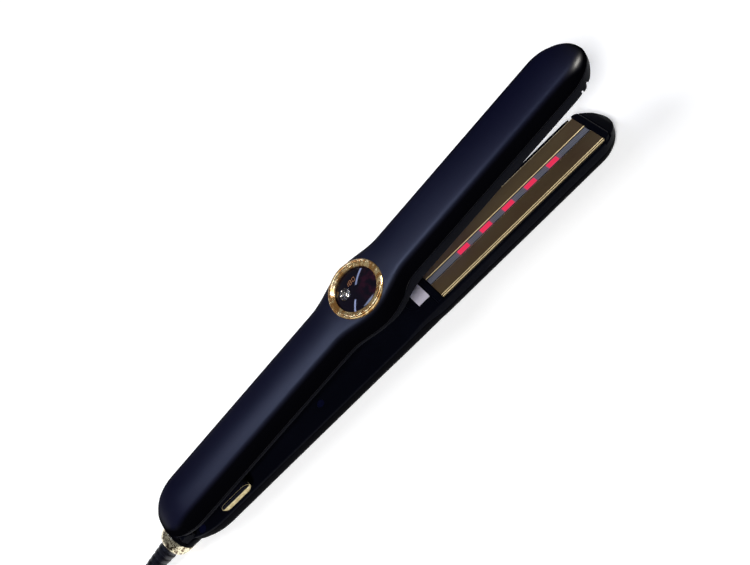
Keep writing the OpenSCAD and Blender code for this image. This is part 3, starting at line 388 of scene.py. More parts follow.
# Floor: a seamless white sheet. Its own glow is seen by the camera and by gloss and glass,
# and it keeps the shadow of the arms.
floor_mesh = bpy.data.meshes.new("floor")
floor_r = 3.0
floor_mesh.from_pydata([(-floor_r, -floor_r, 0), (floor_r, -floor_r, 0), (floor_r, floor_r, 0),
                        (-floor_r, floor_r, 0)], [], [(0, 1, 2, 3)])
floor = linked("floor", floor_mesh)
white = Finish("white sheet", Base_Color=(0.82, 0.82, 0.82, 1), Roughness=1.0, Specular_IOR_Level=0.0)
ray = white.node("ShaderNodeLightPath")
seen, in_gloss, through_glass = [Value(white, ray.socket.node.outputs[f"Is {kind} Ray"])
                                 for kind in ("Camera", "Glossy", "Transmission")]
glow = 0.36
white.set("Emission Color", (1, 1, 1, 1))
white.set("Emission Strength", seen.most(in_gloss).most(through_glass)*glow)
floor_mesh.materials.append(white.material)

# Light: a dim room, a long softbox whose image is the bright band along the handle, a lamp
# whose image is the glow at the tip, and two keys, from the left and from the front, that
# throw the shadows of the arms.
world = bpy.data.worlds.new("room")
world.use_nodes = True
world.node_tree.nodes["Background"].inputs["Color"].default_value = (0.9, 0.92, 1, 1)
world.node_tree.nodes["Background"].inputs["Strength"].default_value = 0.1
bpy.context.scene.world = world


def softbox(name, place, aim, width, length, power, colour, along=(0, 1, 0), image=True, light=True):
    """A flat lamp that faces a point, with or without an image in gloss and a light of its own."""
    lamp = bpy.data.lights.new(name, "AREA")
    lamp.shape = "RECTANGLE"
    lamp.size, lamp.size_y = width, length
    lamp.energy = power
    lamp.color = colour
    back = (Vector(place) - Vector(aim)).normalized()
    side = Vector(along).cross(back).normalized()
    box = linked(name, lamp)
    box.location = place
    box.rotation_euler = Matrix((side, back.cross(side), back)).transposed().to_euler()
    box.visible_glossy = image
    box.visible_diffuse = light


softbox("overhead", (0.05, 0.10, 1.1), (0, 0, 0), 1.3, 0.22, 6.5, (0.55, 0.66, 1), light=False)
tip_place = (0.154, -0.008, 0.07)
softbox("tip_glow", (1.108, -0.288, 0.54), tip_place, 0.2, 0.2, 26, (1, 0.97, 0.88), light=False)
softbox("key", (-1.3, 0.5, 2.2), (0.05, 0, 0), 0.9, 0.9, 25, (1, 1, 1), image=False)
softbox("front_key", (-1.0, -1.42, 2.0), (0.05, 0, 0), 0.5, 0.5, 54, (1, 1, 1), image=False)
bpy.context.scene.view_settings.view_transform = "Standard"

# Upper casing: one long moulding of black plastic under a navy soft-touch lacquer. It is
# rounded at both ends, swells round the dial and is screwed to the frame under it.
plates_box = [(corner - hinge_point)/MM for corner in map(Vector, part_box("lower_plate_near"))]
casing_box = [(corner - hinge_point)/MM for corner in map(Vector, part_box("lower_frame"))]
plate_x0, plate_x1 = plates_box[0].x, plates_box[1].x
arm_w = casing_box[1].y - casing_box[0].y
rest_flat = 0.5
arm_depth = hinge_point.z/MM + rest_flat
wall, part_gap = 1.8, 0.1
handle_face, jaw_face, jaw_part = 3.6, 1.6, 8
handle_part = handle_face + 1.8
part_rise_x0, part_rise_x1 = plate_x0 - 14, plate_x0 - 4
handle_crown, jaw_crown = 34, 60
dial_x = plate_x0 - 24
swell_w, swell_l = 4.8, 24
edge_r = 0.5


def rise(u, power):
    return 1.0 if u >= 1 else (1 - (1 - max(u, 0))**power)**(1/power)


def ramp(x, x0, x1, a, b):
    return a + (b - a)*min(max((x - x0)/(x1 - x0), 0), 1)


def swell(x):
    return (1 + math.cos(math.pi*(x - dial_x)/swell_l))/2 if abs(x - dial_x) < swell_l else 0


def part_w(x):
    return ramp(x, part_rise_x0, part_rise_x1, handle_part, jaw_part)


def angles(whole, steps):
    """Equal steps from 0 to a whole angle."""
    return [whole*i/steps for i in range(steps + 1)]


def finished(mesh_maker):
    """A mesh from a bmesh, with its doubles merged and its faces turned outward."""
    bmesh.ops.remove_doubles(mesh_maker, verts=mesh_maker.verts, dist=1e-7)
    bmesh.ops.recalc_face_normals(mesh_maker, faces=mesh_maker.faces)
    mesh = bpy.data.meshes.new("mesh")
    mesh_maker.to_mesh(mesh)
    mesh_maker.free()
    return mesh


def loft(rings, closed=True):
    """A skin over rings of points, with a face across each end."""
    maker = bmesh.new()
    rows = [[maker.verts.new(point) for point in ring] for ring in rings]
    count = len(rows[0])
    for row, after in zip(rows, rows[1:]):
        for i in range(count):
            maker.faces.new((row[i], row[(i + 1) % count], after[(i + 1) % count], after[i]))
    if closed:
        maker.faces.new(rows[0][::-1])
        maker.faces.new(rows[-1])
    return finished(maker)


class Arm:
    """The outline of one arm."""

    def __init__(self, place, tail, tail_round, tail_power, tip, tip_round, corner, swollen, rests):
        self.place, self.corner, self.swollen, self.rests = place, corner, swollen, rests
        self.tail, self.tail_round, self.tail_power = tail, tail_round, tail_power
        self.tip, self.tip_round = tip, tip_round

    def ends(self, x, power):
        return rise((x + self.tail)/self.tail_round, power)*rise((self.tip - x)/self.tip_round, 2)

    def half_w(self, x):
        return arm_w/2*self.ends(x, self.tail_power) + (swell_w*swell(x) if self.swollen else 0)

    def stations(self, x0=-1000, x1=1000):
        """Places along the arm, closer together where its outline bends."""
        bend, handle_steps, swell_steps, jaw_steps = 36, 14, 24, 16
        full_x = -self.tail + self.tail_round
        thin_x = self.tip - self.tip_round
        xs = [full_x - self.tail_round*math.cos(math.pi/2*i/bend) for i in range(1, bend + 1)]
        xs += [full_x + (dial_x - swell_l - full_x)*i/handle_steps for i in range(1, handle_steps + 1)]
        xs += [dial_x + swell_l*(i/swell_steps - 1) for i in range(1, 2*swell_steps + 1)]
        xs += [part_rise_x0, part_rise_x1]
        xs += [dial_x + swell_l + (thin_x - dial_x - swell_l)*i/jaw_steps for i in range(1, jaw_steps + 1)]
        xs += [thin_x + self.tip_round*math.sin(math.pi/2*i/bend) for i in range(1, bend)]
        xs += [0.002 - self.tail, self.tip - 0.002]
        return sorted(x for x in set(xs) if x0 <= x <= x1)

    def ring(self, x, inset, drop=0.0):
        """One section of the casing: near wall, corner, crown, corner, far wall."""
        a = max(self.half_w(x) - inset, 0.1)
        base = part_w(x) + part_gap
        top = base + max((arm_depth - base)*self.ends(x, 2) - inset, 0.1)
        r = min(self.corner - 0.6*inset, 0.8*a, 0.8*(top - base))
        crown = max(ramp(x, dial_x - swell_l, dial_x, handle_crown, jaw_crown + 20*swell(x)), a + 1)
        c = max(top - crown + math.sqrt((crown - r)**2 - (a - r)**2), base + 0.05)
        lean = math.asin((a - r)/(crown - r))
        low = arm_depth - rest_flat - inset if self.rests else 1000
        lip = 0 if drop else min(edge_r, 0.5*a, 0.5*(top - base))
        half = [(a - lip + lip*math.sin(t), base - drop + lip - lip*math.cos(t))
                for t in angles(math.pi/2, 3)]
        half += [(a, base - drop + lip + (c - base + drop - lip)*i/3) for i in (1, 2)]
        half += [(a - r + r*math.cos(t), c + r*math.sin(t)) for t in angles(math.pi/2 - lean, 9)]
        half += [(crown*math.sin(t), top - crown + crown*math.cos(t))
                 for t in (lean*(1 - i/6) for i in range(1, 6))]
        line = [(y, min(w, low)) for y, w in half] + [(0, min(top, low))]
        line += [(-y, w) for y, w in line[-2::-1]]
        return [self.place(x, y, w) for y, w in line]

    def form(self, inset=0.0, drop=0.0, x0=-1000, x1=1000):
        return loft([self.ring(x, inset, drop) for x in self.stations(x0, x1)])


def combined(mesh, *steps):
    """Adds to a mesh, cuts from it or keeps what is common, one (operation, mesh) at a time."""
    body = linked("body", mesh)
    tools = []
    for operation, other in steps:
        tool = linked("tool", other)
        boolean = body.modifiers.new("boolean", "BOOLEAN")
        boolean.operation = operation
        boolean.object = tool
        boolean.solver = "EXACT"
        tools.append(tool)
    return settled(body, *tools)


def rod(place, x, y, w0, w1, r0, r1=None, sides=64):
    """A round bar square to the meeting plane, or a cone."""
    turns = angles(2*math.pi, sides)[:-1]
    return loft([[place(x + r*math.cos(t), y + r*math.sin(t), w) for t in turns]
                 for w, r in ((w0, r0), (w1, r0 if r1 is None else r1))])


def block(place, x0, x1, y0, y1, w0, w1):
    return loft([[place(x, y, w) for y, w in ((y0, w0), (y1, w0), (y1, w1), (y0, w1))] for x in (x0, x1)])


def together(meshes):
    """Several meshes in one."""
    maker = bmesh.new()
    for mesh in meshes:
        maker.from_mesh(mesh)
    mesh = bpy.data.meshes.new("mesh")
    maker.to_mesh(mesh)
    maker.free()
    return mesh


upper_arm = Arm(upper, tail=4, tail_round=22, tail_power=2.3, tip=plate_x1 + 14, tip_round=20, corner=6,
                swollen=True, rests=False)
screw_pairs = ((7.4, 9), (91, 4.5))
screw_places = [(x, side*y) for x, y in screw_pairs for side in (-1, 1)]
screw_c_x = plate_x0 - 8
post_r = 2.4


def screw_posts(arm):
    """The posts inside a casing that take the screws, trimmed by the casing's form."""
    posts = [rod(arm.place, x, y, handle_part + 2.05, arm_depth - wall, post_r, sides=32)
             for x, y in screw_places]
    posts.append(rod(arm.place, screw_c_x, 0, jaw_face + 1.9, arm_depth - wall/2, post_r, sides=32))
    return combined(arm.form(wall/2, 4, 2 - arm.tail, arm.tip - 2), ("INTERSECT", together(posts)))


def hollow_casing(arm):
    cavity = arm.form(wall, 2, 3 - arm.tail, arm.tip - 2.4)
    return combined(arm.form(), ("DIFFERENCE", cavity), ("UNION", screw_posts(arm)))


ring_r, ring_bore_r = 14.7, 11.3
dial_seat_w = arm_depth - 2.6
upper_casing = combined(
    hollow_casing(upper_arm),
    ("UNION", rod(upper, dial_x, 0, dial_seat_w - 2.4, dial_seat_w + 0.2, ring_r + 0.9)),
    ("DIFFERENCE", rod(upper, dial_x, 0, dial_seat_w, arm_depth + 2, ring_r + 0.05, sides=96)),
    ("DIFFERENCE", rod(upper, dial_x, 0, dial_seat_w - 4, arm_depth + 2, ring_bore_r + 0.1, sides=96)))

navy = Finish("navy soft-touch lacquer", Specular_IOR_Level=0.0, Coat_Roughness=0.4, Coat_IOR=1.5)
grain = navy.noise(0.12, 2)
cloud = navy.noise(40, 2, stretch=(0.4, 1, 1))
navy_x, navy_y, navy_w = navy.axes("upper")
from_dial = ((navy_x - dial_x)/swell_l).size()
from_side = arm_w/2 + swell_w*from_dial.step(1, 0) - navy_y.size()
crown = navy_w.step(arm_depth - 6, arm_depth - 2.6)*from_side.step(1.6, 4.8)
toward_near = navy_y.step(8, -9)
toward_dial = (0.35 + 0.65*navy_x.step(plate_x1 - 20, dial_x + 10))*(0.45 + 0.55*navy_x.step(0, 45))
part_line = handle_part + (jaw_part - handle_part)*navy_x.step(part_rise_x0, part_rise_x1)
lip = (navy_w - part_line).step(0.75, 0.55)
lacquer = navy.mix(cloud, (0.002, 0.0022, 0.0095), (0.0033, 0.0037, 0.0165))
# Painted shade: the walls below the crown are coloured near-black instead of the lacquer's navy, for the
# shade that falls on them.
navy.set("Base Color", navy.mix(crown, (0.0012, 0.0012, 0.002), lacquer))
navy.set("Roughness", 0.4 + 0.08*cloud + 0.05*grain)
gloss = 0.25 + 0.75*toward_near + 0.1*cloud + 0.3*from_dial.step(1.2, 0.3)
navy.set("Coat Weight", (crown*toward_dial*gloss).least(1).most(lip*0.25))
navy.bump(grain, 0.004, 0.3)
shown("upper_casing", upper_casing, "upper_arm", navy, ["upper_shell"])

# Lower casing: the same moulding without the swelling, deeper round the corners, flat
# where it rests, with the neck that carries the cord's swivel at its tail.
lower_tip = (Vector(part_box("lower_shell")[1]).x - hinge_point.x)/MM + 0.005
lower_arm = Arm(lower, tail=5, tail_round=24, tail_power=2, tip=lower_tip, tip_round=18, corner=8,
                swollen=False, rests=True)
neck_x, neck_w, neck_l, neck_r, spigot_r, spigot_l = -5.6, 7.5, 7, 8.6, 7, 3
neck_bore_r = 5.2


def neck(x, y, s):
    """A point beside the neck's axis, s millimetres out from its end face."""
    cosine, sine = math.cos(neck_fall), math.sin(neck_fall)
    return lower(neck_x - s*cosine - x*sine, y, neck_w + s*sine - x*cosine)


cover_x0 = -4.2
cover_room = block(lower, cover_x0 - 0.1, 20, -12, 12, -6, handle_part + part_gap)
lower_casing = combined(
    hollow_casing(lower_arm),
    ("UNION", rod(neck, 0, 0, -neck_l, 0, neck_r + 0.8, neck_r, sides=96)),
    ("UNION", rod(neck, 0, 0, -1, spigot_l, spigot_r, sides=96)),
    ("DIFFERENCE", rod(neck, 0, 0, -neck_l - 3, spigot_l + 1, neck_bore_r, sides=96)),
    ("DIFFERENCE", cover_room))
black = Finish("matt black plastic", Specular_IOR_Level=0.006)
black.grained(black.noise(0.15, 2), (0.001, 0.001, 0.0015), (0.0025, 0.0025, 0.004), 0.34, 0.1, 0.005,
              tones=black.noise(30), strength=0.3)
shown("lower_casing", lower_casing, "lower_arm", black, ["lower_shell"])

# Frames: the inner cover of each handle and the walls beside the plates, one black
# moulding for each arm, screwed into the casing and carrying the hinge at its tail.
rim_l, rim_w, side_wall = 7.5, 4, 1.4
frame_edge_r = 0.45
face_fall_x0, face_fall_x1 = plate_x0 - 27, plate_x0 - 17


def face_w(x, tip):
    """Height of a frame's inner face above the meeting plane."""
    if x > tip - rim_l:
        knee = tip - rim_l/3
        return ramp(x, knee, tip + 1, ramp(x, tip - rim_l, knee, jaw_face, rim_w), rim_w + 2.4)
    return ramp(x, face_fall_x0, face_fall_x1, handle_face, jaw_face)


def frame_ring(arm, x):
    a = arm.half_w(x)
    face, part = face_w(x, arm.tip), part_w(x)
    lip = min(frame_edge_r, 0.4*a, 0.4*(part - face))
    half = [(a, part)] + [(a - lip + lip*math.cos(t), face + lip - lip*math.sin(t))
                          for t in angles(math.pi/2, 5)]
    return [arm.place(x, y, w) for y, w in half + [(-y, w) for y, w in half[::-1]]]


def frame_form(arm, x0):
    ramps = [face_fall_x0, face_fall_x1, arm.tip - rim_l, arm.tip - rim_l/3]
    return loft([frame_ring(arm, x) for x in sorted(set(arm.stations(x0) + [x0] + ramps))])


well_x0, well_x1, well_step = plate_x0 - 3.8, plate_x1 + 4.4, plate_x1 - 2.6
well_y = arm_w/2 - side_wall
block_y = 8.6
plate_w1, plate_travel = 2.15, 0.8
end_cut_w = plate_w1 + plate_travel + 0.3
screw_hole_r, screw_well_r, screw_well_l = 1.3, 2.15, 1.85
hinge_lead_x, hinge_lead_y, lead_r = 17, 4.5, 0.8
lug_r = 3.2


def lug(arm, y0, y1):
    """An ear or knuckle of the hinge, with its foot on the inner cover."""
    outline = [(lug_r*math.cos(t), lug_r*math.sin(t)) for t in (math.pi*(1 + i/24) for i in range(25))]
    outline += [(lug_r, handle_face + 0.5), (-lug_r, handle_face + 0.5)]
    return loft([[arm.place(x, y, w) for x, w in outline] for y in (y0, y1)])


def bore(arm, y0, y1, r):
    turns = angles(2*math.pi, 48)[:-1]
    return loft([[arm.place(r*math.cos(t), y, r*math.sin(t)) for t in turns] for y in (y0, y1)])


def frame_mesh(arm, x0, lugs, bore_r, *more):
    place = arm.place
    cuts = [
        block(place, well_x0, well_step, -well_y, well_y, jaw_face - 1, jaw_part + 1),
        block(place, well_step - 0.01, well_x1, -well_y - 1, well_y + 1, jaw_face - 1, end_cut_w + 0.1),
        block(place, well_step - 0.01, well_x1, -block_y - 0.1, block_y + 0.1, jaw_face - 1, jaw_part + 1)]
    holes = ((handle_part + 3, screw_hole_r, 24), (handle_face + screw_well_l, screw_well_r, 40))
    for top, r, sides in holes:
        cuts += [rod(place, x, y, handle_face - 1, top, r, sides=sides) for x, y in screw_places]
    for y in (-hinge_lead_y, hinge_lead_y):
        cuts.append(rod(place, hinge_lead_x, y, handle_face - 1, handle_part + 1, lead_r + 0.4, sides=24))
    cuts.append(rod(place, screw_c_x, 0, 0, jaw_part, screw_hole_r, sides=24))
    cuts.append(bore(arm, -40, 40, bore_r))
    steps = [("UNION", lug(arm, y0, y1)) for y0, y1 in lugs] + [("DIFFERENCE", cut) for cut in cuts]
    return combined(frame_form(arm, x0), *steps, *more)


lock_x, lock_l, lock_travel = 22.2, 18, 4
frame_finish = Finish("black frame plastic", Specular_IOR_Level=0.012)
frame_finish.grained(frame_finish.noise(0.2, 2), (0.0012, 0.0014, 0.003), (0.003, 0.0034, 0.007), 0.3, 0.12,
                     0.004, tones=frame_finish.noise(24), strength=0.3)
ear_ys, ear_bore_r = [(-9, -6.8), (6.8, 9)], 1.52
knuckle_ys, knuckle_bore_r = [(-6.6, -3.6), (3.6, 6.6)], 1.55
slot_x0, slot_x1, slot_hw = lock_x + 2.7, lock_x + 13.3 + lock_travel, 2.2
slot = block(lower, slot_x0, slot_x1, -slot_hw, slot_hw, handle_face - 1, handle_part + 1)
lower_frame = frame_mesh(lower_arm, cover_x0, ear_ys, ear_bore_r, ("DIFFERENCE", slot))
shown("lower_inner_cover", lower_frame, "lower_arm", frame_finish, ["lower_frame"])
upper_frame = frame_mesh(upper_arm, 0.02 - upper_arm.tail, knuckle_ys, knuckle_bore_r)
shown("upper_inner_cover", upper_frame, "upper_arm", frame_finish, ["upper_frame"])

# Dial ring: a turned brass bezel, plated gold and polished. It is pressed into a round seat
# in the casing.
gold = Finish("polished gold plating", Metallic=0.8)
gold_cloud = gold.noise(3.2, 3, bend=1.2)
gold.set("Base Color", gold.mix(gold_cloud.step(0.42, 0.6), (0.55, 0.27, 0.075), (0.95, 0.72, 0.36)))
gold.set("Roughness", 0.08 + 0.16*gold.noise(0.7, 3))
gold.bump(gold.noise(1.9, 1), 0.13)


def lathe(place, profile, sides=128, closed=True):
    """A turned piece: a profile of (radius, height) spun about the axis of a place."""
    turns = angles(2*math.pi, sides)[:-1]
    maker = bmesh.new()
    rows = [[maker.verts.new(place(r*math.cos(t), r*math.sin(t), w)) for r, w in profile] for t in turns]
    count = len(profile)
    for i, row in enumerate(rows):
        after = rows[(i + 1) % sides]
        for k in range(count if closed else count - 1):
            maker.faces.new((row[k], row[(k + 1) % count], after[(k + 1) % count], after[k]))
    bmesh.ops.remove_doubles(maker, verts=maker.verts, dist=1e-7)
    bmesh.ops.dissolve_degenerate(maker, edges=maker.edges, dist=1e-8)
    return finished(maker)


def on_dial(x, y, w):
    return upper(dial_x + x, y, w)


crest = arm_depth + 0.7
ring_base = dial_seat_w + 0.05
groove_r, groove_w = ring_bore_r + 0.5, ring_base + 1.3
ring_line = [(ring_r, ring_base), (ring_r, crest - 1)]
ring_line += [(ring_r - 1 + math.cos(t), crest - 1 + math.sin(t))
              for t in angles(math.pi/2, 8)[1:-1]]
ring_line += [(ring_r - 1.25, crest), (ring_r - 1.6, crest - 0.1), (ring_r - 2.1, crest - 0.4),
              (groove_r, crest - 0.75), (ring_bore_r + 0.15, crest - 0.9), (ring_bore_r, crest - 1.05),
              (ring_bore_r, groove_w), (groove_r, groove_w), (groove_r, ring_base)]
shown("dial_bezel", lathe(on_dial, ring_line, 160), "upper_arm", gold, ["dial_ring"])

# Dial glass: a domed smoked lens over the display, moulded with a hole for the button and
# held under the ring by its flange.
glass_base = dial_seat_w + 0.1
glass_rise = 1.5
button_at = (-5.3, 2.2)
button_r = 2.9
glass_edge = glass_base + 1.15
glass_r, flange_r = ring_bore_r - 0.1, ring_bore_r + 0.4
dome_r = (glass_r**2 + glass_rise**2)/(2*glass_rise)
dome_c = glass_base + 1.1 + glass_rise - dome_r
rim = [(0, glass_base), (flange_r, glass_base), (flange_r, glass_edge), (glass_r, glass_edge)]
dome = [glass_r*(1 - i/24) for i in range(1, 25)]
glass_line = rim + [(r, dome_c + math.sqrt(dome_r**2 - r*r)) for r in dome]
button_hole = rod(on_dial, *button_at, glass_base - 1, glass_base + 5, button_r + 0.15)
glass_mesh = combined(lathe(on_dial, glass_line, 128, closed=False), ("DIFFERENCE", button_hole))
smoked = Finish("smoked glass", Specular_IOR_Level=0.35, Coat_Roughness=0.02)
smoke_x, smoke_y = smoked.axes("upper")[:2]
from_mid = smoke_x - dial_x
warm = from_mid.step(-2, 6)*(1 - smoke_y.step(0, 7))*smoked.noise(3.5, 2).step(0.4, 0.62)
smoked.set("Base Color", smoked.mix(warm, (0.0025, 0.0015, 0.006), (0.019, 0.003, 0.011)))
smoked.set("Roughness", 0.04 + 0.12*smoked.noise(0.9, 4).step(0.62, 0.75))
smoked.set("Coat Weight", 0.25 + 0.2*smoked.noise(5, 2))
shown("dial_window", glass_mesh, "upper_arm", smoked, ["dial_glass"], sharp=50)


def mirrored(x, y):
    """Where the camera looks, mirrored in a point of the glass, at window_far metres."""
    window_far = 1.1
    height = math.sqrt(dome_r**2 - x*x - y*y)
    point = on_dial(x, y, dome_c + height)
    normal = (point - on_dial(0, 0, dome_c)).normalized()
    view = (camera.location - point).normalized()
    return point + window_far*(2*normal.dot(view)*normal - view)


# Windows: two narrow lamps whose images are the blue-white streaks across the glass. Each
# stands where the camera looks when mirrored in the two ends of its streak.
streak_w = 0.045
for name, start, end in (("far_window", (9, 6.4), (1.4, 0.9)), ("near_window", (-3.4, -4.3), (-7.7, -8.2))):
    top, low = mirrored(*start), mirrored(*end)
    softbox(name, (top + low)/2, on_dial(0, 0, glass_base), streak_w, (top - low).length, 0.5, (0.5, 0.6, 1),
            along=(top - low))

# Display: three slanted seven-segment figures that glow orange under the top of the glass,
# as the set temperature, one thin bar for each segment that is lit.
figure_h, figure_w, figure_step, figure_slant, bar_t = 2.2, 1.35, 2.15, 0.2, 0.19
figure_x, figure_y = -2.9, 3.4
segments = {"a": ((0, 1), (1, 1)), "b": ((1, 1), (1, 0.5)), "c": ((1, 0.5), (1, 0)), "d": ((0, 0), (1, 0)),
            "e": ((0, 0.5), (0, 0)), "f": ((0, 1), (0, 0.5)), "g": ((0, 0.5), (1, 0.5))}
figures = ("bc", "abcdefg", "abcdef")


def on_dome(x, y, above):
    return on_dial(x, y, dome_c + math.sqrt(dome_r**2 - x*x - y*y) + above)


def bar(start, end):
    """One lit segment: a thin bar with pointed ends, on the curve of the glass."""
    start, end = Vector(start), Vector(end)
    along = (end - start).normalized()
    across = Vector((-along.y, along.x))*bar_t/2
    start, end = start + along*bar_t*0.4, end - along*bar_t*0.4
    first, last = start + along*bar_t/2, end - along*bar_t/2
    line = [start, first - across, last - across, end, last + across, first + across]
    return loft([[on_dome(point.x, point.y, above) for point in line] for above in (-0.1, 0.015)])


bars = []
for i, figure in enumerate(figures):
    for segment in figure:
        spots = [(figure_x + i*figure_step + figure_w*u + figure_slant*figure_h*v, figure_y + figure_h*v)
                 for u, v in segments[segment]]
        bars.append(bar(*spots))
amber = Finish("lit amber figures", Roughness=0.4, Emission_Strength=1.0)
flicker = amber.noise(0.5, 2)
amber.set("Base Color", amber.mix(flicker, (0.1, 0.035, 0.01), (0.16, 0.06, 0.02)))
amber.set("Emission Color", amber.mix(flicker, (0.2, 0.085, 0.03), (0.4, 0.19, 0.09)))
shown("display_figures", together(bars), "upper_arm", amber)

# Power button: a small aluminium cap with a dished, brushed face. It goes through the hole
# in the glass and is kept in by a flange under it.
button_top = glass_base + 1.1 + glass_rise + 0.15
button_line = [(0, glass_base - 0.5), (button_r + 0.6, glass_base - 0.5), (button_r + 0.6, glass_base - 0.05),
               (button_r, glass_base - 0.05)]
button_face = ((0, 0.5), (0.08, 0.2), (0.25, 0.05), (0.5, 0), (0.75, 0.06), (1.0, 0.15), (1.6, 0.25),
               (button_r, 0.3))
button_line += [(button_r - inward, button_top - below) for inward, below in button_face]


def on_button(x, y, w):
    return on_dial(button_at[0] + x, button_at[1] + y, w)


brushed = Finish("brushed aluminium", Metallic=1.0)
brush_x, brush_y = brushed.axes("upper")[:2]
brush_pitch = 2*math.pi/42
off_x = brush_x - dial_x - button_at[0]
off_y = brush_y - button_at[1]
reach = (off_x*off_x + off_y*off_y)**0.5
turning = reach.wave(brush_pitch)*0.5 + 0.5
glint = brushed.noise(0.9, 4, bend=2)
brushed.set("Base Color", brushed.mix(glint.step(0.46, 0.6), (0.05, 0.05, 0.055), (0.85, 0.82, 0.84)))
brushed.set("Roughness", 0.12 + 0.14*turning)
brushed.bump(turning*0.3 + glint, 0.35)
shown("power_button_cap", lathe(on_button, button_line, 96, closed=False), "power_button", brushed,
      ["power_button"])

# Carriers: the black blocks that hold the plates in each jaw, with a raised block at both
# ends and a tongue that is screwed down over the cover.
for name, body in (("lower_carrier", "lower_arm"), ("upper_carrier", "upper_arm")):
    shown(name + "_moulding", softened(name, 0.35), body, frame_finish, [name])

# Plates: extruded aluminium under a bronze titanium coating, ground along the arm, with
# bevelled edges, whose highlights are painted on as bright lines.
bronze = Finish("bronze plate coating", Metallic=0.15, Specular_IOR_Level=0.35)
bronze_y = bronze.axes()[1]
ground = bronze.noise(0.35, 3, stretch=(0.02, 1, 1))
patch = bronze.noise(26, 2, stretch=(0.5, 1, 1))
tone = bronze.mix(patch.step(0.35, 0.65), (0.07, 0.04, 0.021), (0.088, 0.06, 0.029))
off_mid = bronze_y.size()
plates_hw, strip_hw, bevel_w = 11.5, 2.15, 0.9


def line_at(place, half):
    """1 along a line at a distance from the middle of the arm, 0 away from it."""
    return (off_mid - place).size().step(half + 0.05, half - 0.05)


# Painted highlights: thin bright lines along the bevelled edges of the plates and beside the lens strip.
outer_edge_highlights = line_at(plates_hw - bevel_w + 0.1, 0.12).most(line_at(plates_hw - 0.15, 0.12))
edge_highlights = outer_edge_highlights.most(line_at(strip_hw + 0.16, 0.12))
bronze.grained(ground, tone, (1.0, 0.8, 0.44), 0.3, 0.12, 0.004, tones=edge_highlights, strength=0.5)
for name, body in (("lower_plate_near", "lower_plates"), ("lower_plate_far", "lower_plates"),
                   ("upper_plate", "upper_plates")):
    shown(name + "_face", softened(name, 0.12, 2), body, bronze, [name])

# Lamps: five red lamps on a slim board, under a ribbed bluish lens that runs between the
# two plates. The lens glows over each lamp.
lamp_count, lamp_pitch, lamp_hl, lamp_hw = 5, 15.4, 3.4, 1.5
lamp_mid = (plate_x0 + plate_x1)/2
lens_rib_pitch = 0.8
lens = Finish("ribbed lens", Specular_IOR_Level=0.3, Emission_Strength=1.0)
lens_x, lens_y = lens.axes("lower")[:2]
pitches = (lens_x - lamp_mid)/lamp_pitch
off_lamp = ((pitches + 10.5).share() - 0.5).size()*lamp_pitch
off_axis = lens_y.size()
over_lamp = off_lamp.step(lamp_hl + 0.4, lamp_hl - 0.3)*off_axis.step(lamp_hw + 0.15, lamp_hw - 0.3)
over_lamp = over_lamp*pitches.size().step(lamp_count/2, lamp_count/2 - 0.05)
halo = off_lamp.step(lamp_hl + 3.4, lamp_hl - 0.4)*pitches.size().step(lamp_count/2 + 0.3, lamp_count/2 - 0.2)
lens_rib = lens_x.wave(lens_rib_pitch)*0.5 + 0.5
blue = lens.mix(lens_rib, (0.095, 0.102, 0.138), (0.154, 0.16, 0.195))
# Painted shade: the lens is coloured near-black along both edges, for the shadow in the gaps beside the
# plates.
lens_gap_shade = off_axis.step(1.5, 1.75)
unlit = lens.mix(lens_gap_shade, blue, (0.008, 0.006, 0.01))
around = lens.mix(halo, (0, 0, 0), (0.03, 0.004, 0.012))
lens.grained(lens_rib, unlit, (0.2, 0.012, 0.035), 0.3, 0.15, 0.05, tones=over_lamp, strength=0.5)
lens.set("Emission Color", lens.mix(over_lamp, around, (0.68, 0.02, 0.07)))
lens.dress("lamp_lens")


def flat_place(x, y, w):
    return Vector((x, y, w))


def row_tree():
    """Copies of a piece in rows: a line of points along the arm, and on each a line across it."""
    tree = bpy.data.node_groups.new("copies in rows", "GeometryNodeTree")
    given = {"Along": "Int", "Across": "Int", "Start": "Vector", "Step Along": "Vector",
             "Step Across": "Vector", "Piece": "Object", "Finish": "Material"}
    for name, kind in given.items():
        tree.interface.new_socket(name, in_out="INPUT", socket_type="NodeSocket" + kind)
    tree.interface.new_socket("Copies", in_out="OUTPUT", socket_type="NodeSocketGeometry")
    start = tree.nodes.new("NodeGroupInput").outputs

    def step(kind, links, output=0):
        node = tree.nodes.new(kind)
        for key, source in links.items():
            tree.links.new(source, node.inputs[key])
        return node.outputs[output]

    along = step("GeometryNodeMeshLine",
                 {"Count": start["Along"], "Start Location": start["Start"], "Offset": start["Step Along"]})
    across = step("GeometryNodeMeshLine", {"Count": start["Across"], "Offset": start["Step Across"]})
    rows = step("GeometryNodeInstanceOnPoints", {"Points": along, "Instance": across})
    points = step("GeometryNodeRealizeInstances", {"Geometry": rows})
    piece = step("GeometryNodeObjectInfo", {"Object": start["Piece"]}, "Geometry")
    copies = step("GeometryNodeInstanceOnPoints", {"Points": points, "Instance": piece})
    whole = step("GeometryNodeRealizeInstances", {"Geometry": copies})
    dressed = step("GeometryNodeSetMaterial", {"Geometry": whole, "Material": start["Finish"]})
    tree.links.new(dressed, tree.nodes.new("NodeGroupOutput").inputs["Copies"])
    return tree


rows_of = row_tree()


def in_rows(place, piece, finish, along, across, start, step_along, step_across):
    """A mesh set in rows in an arm's own millimetres, and then put where the arm is."""
    pattern = linked("pattern", piece)
    host = linked("host", bpy.data.meshes.new("host"))
    rows = host.modifiers.new("rows", "NODES")
    rows.node_group = rows_of
    known = {item.name: item.identifier for item in rows_of.interface.items_tree if item.in_out == "INPUT"}
    values = {"Along": along, "Across": across, "Start": start, "Step Along": (step_along, 0, 0),
              "Step Across": (0, step_across, 0), "Piece": pattern, "Finish": finish.material}
    for name, value in values.items():
        rows[known[name]] = value
    mesh = settled(host, pattern)
    for vertex in mesh.vertices:
        vertex.co = place(*vertex.co)
    if place == lower:
        mesh.flip_normals()
    return mesh


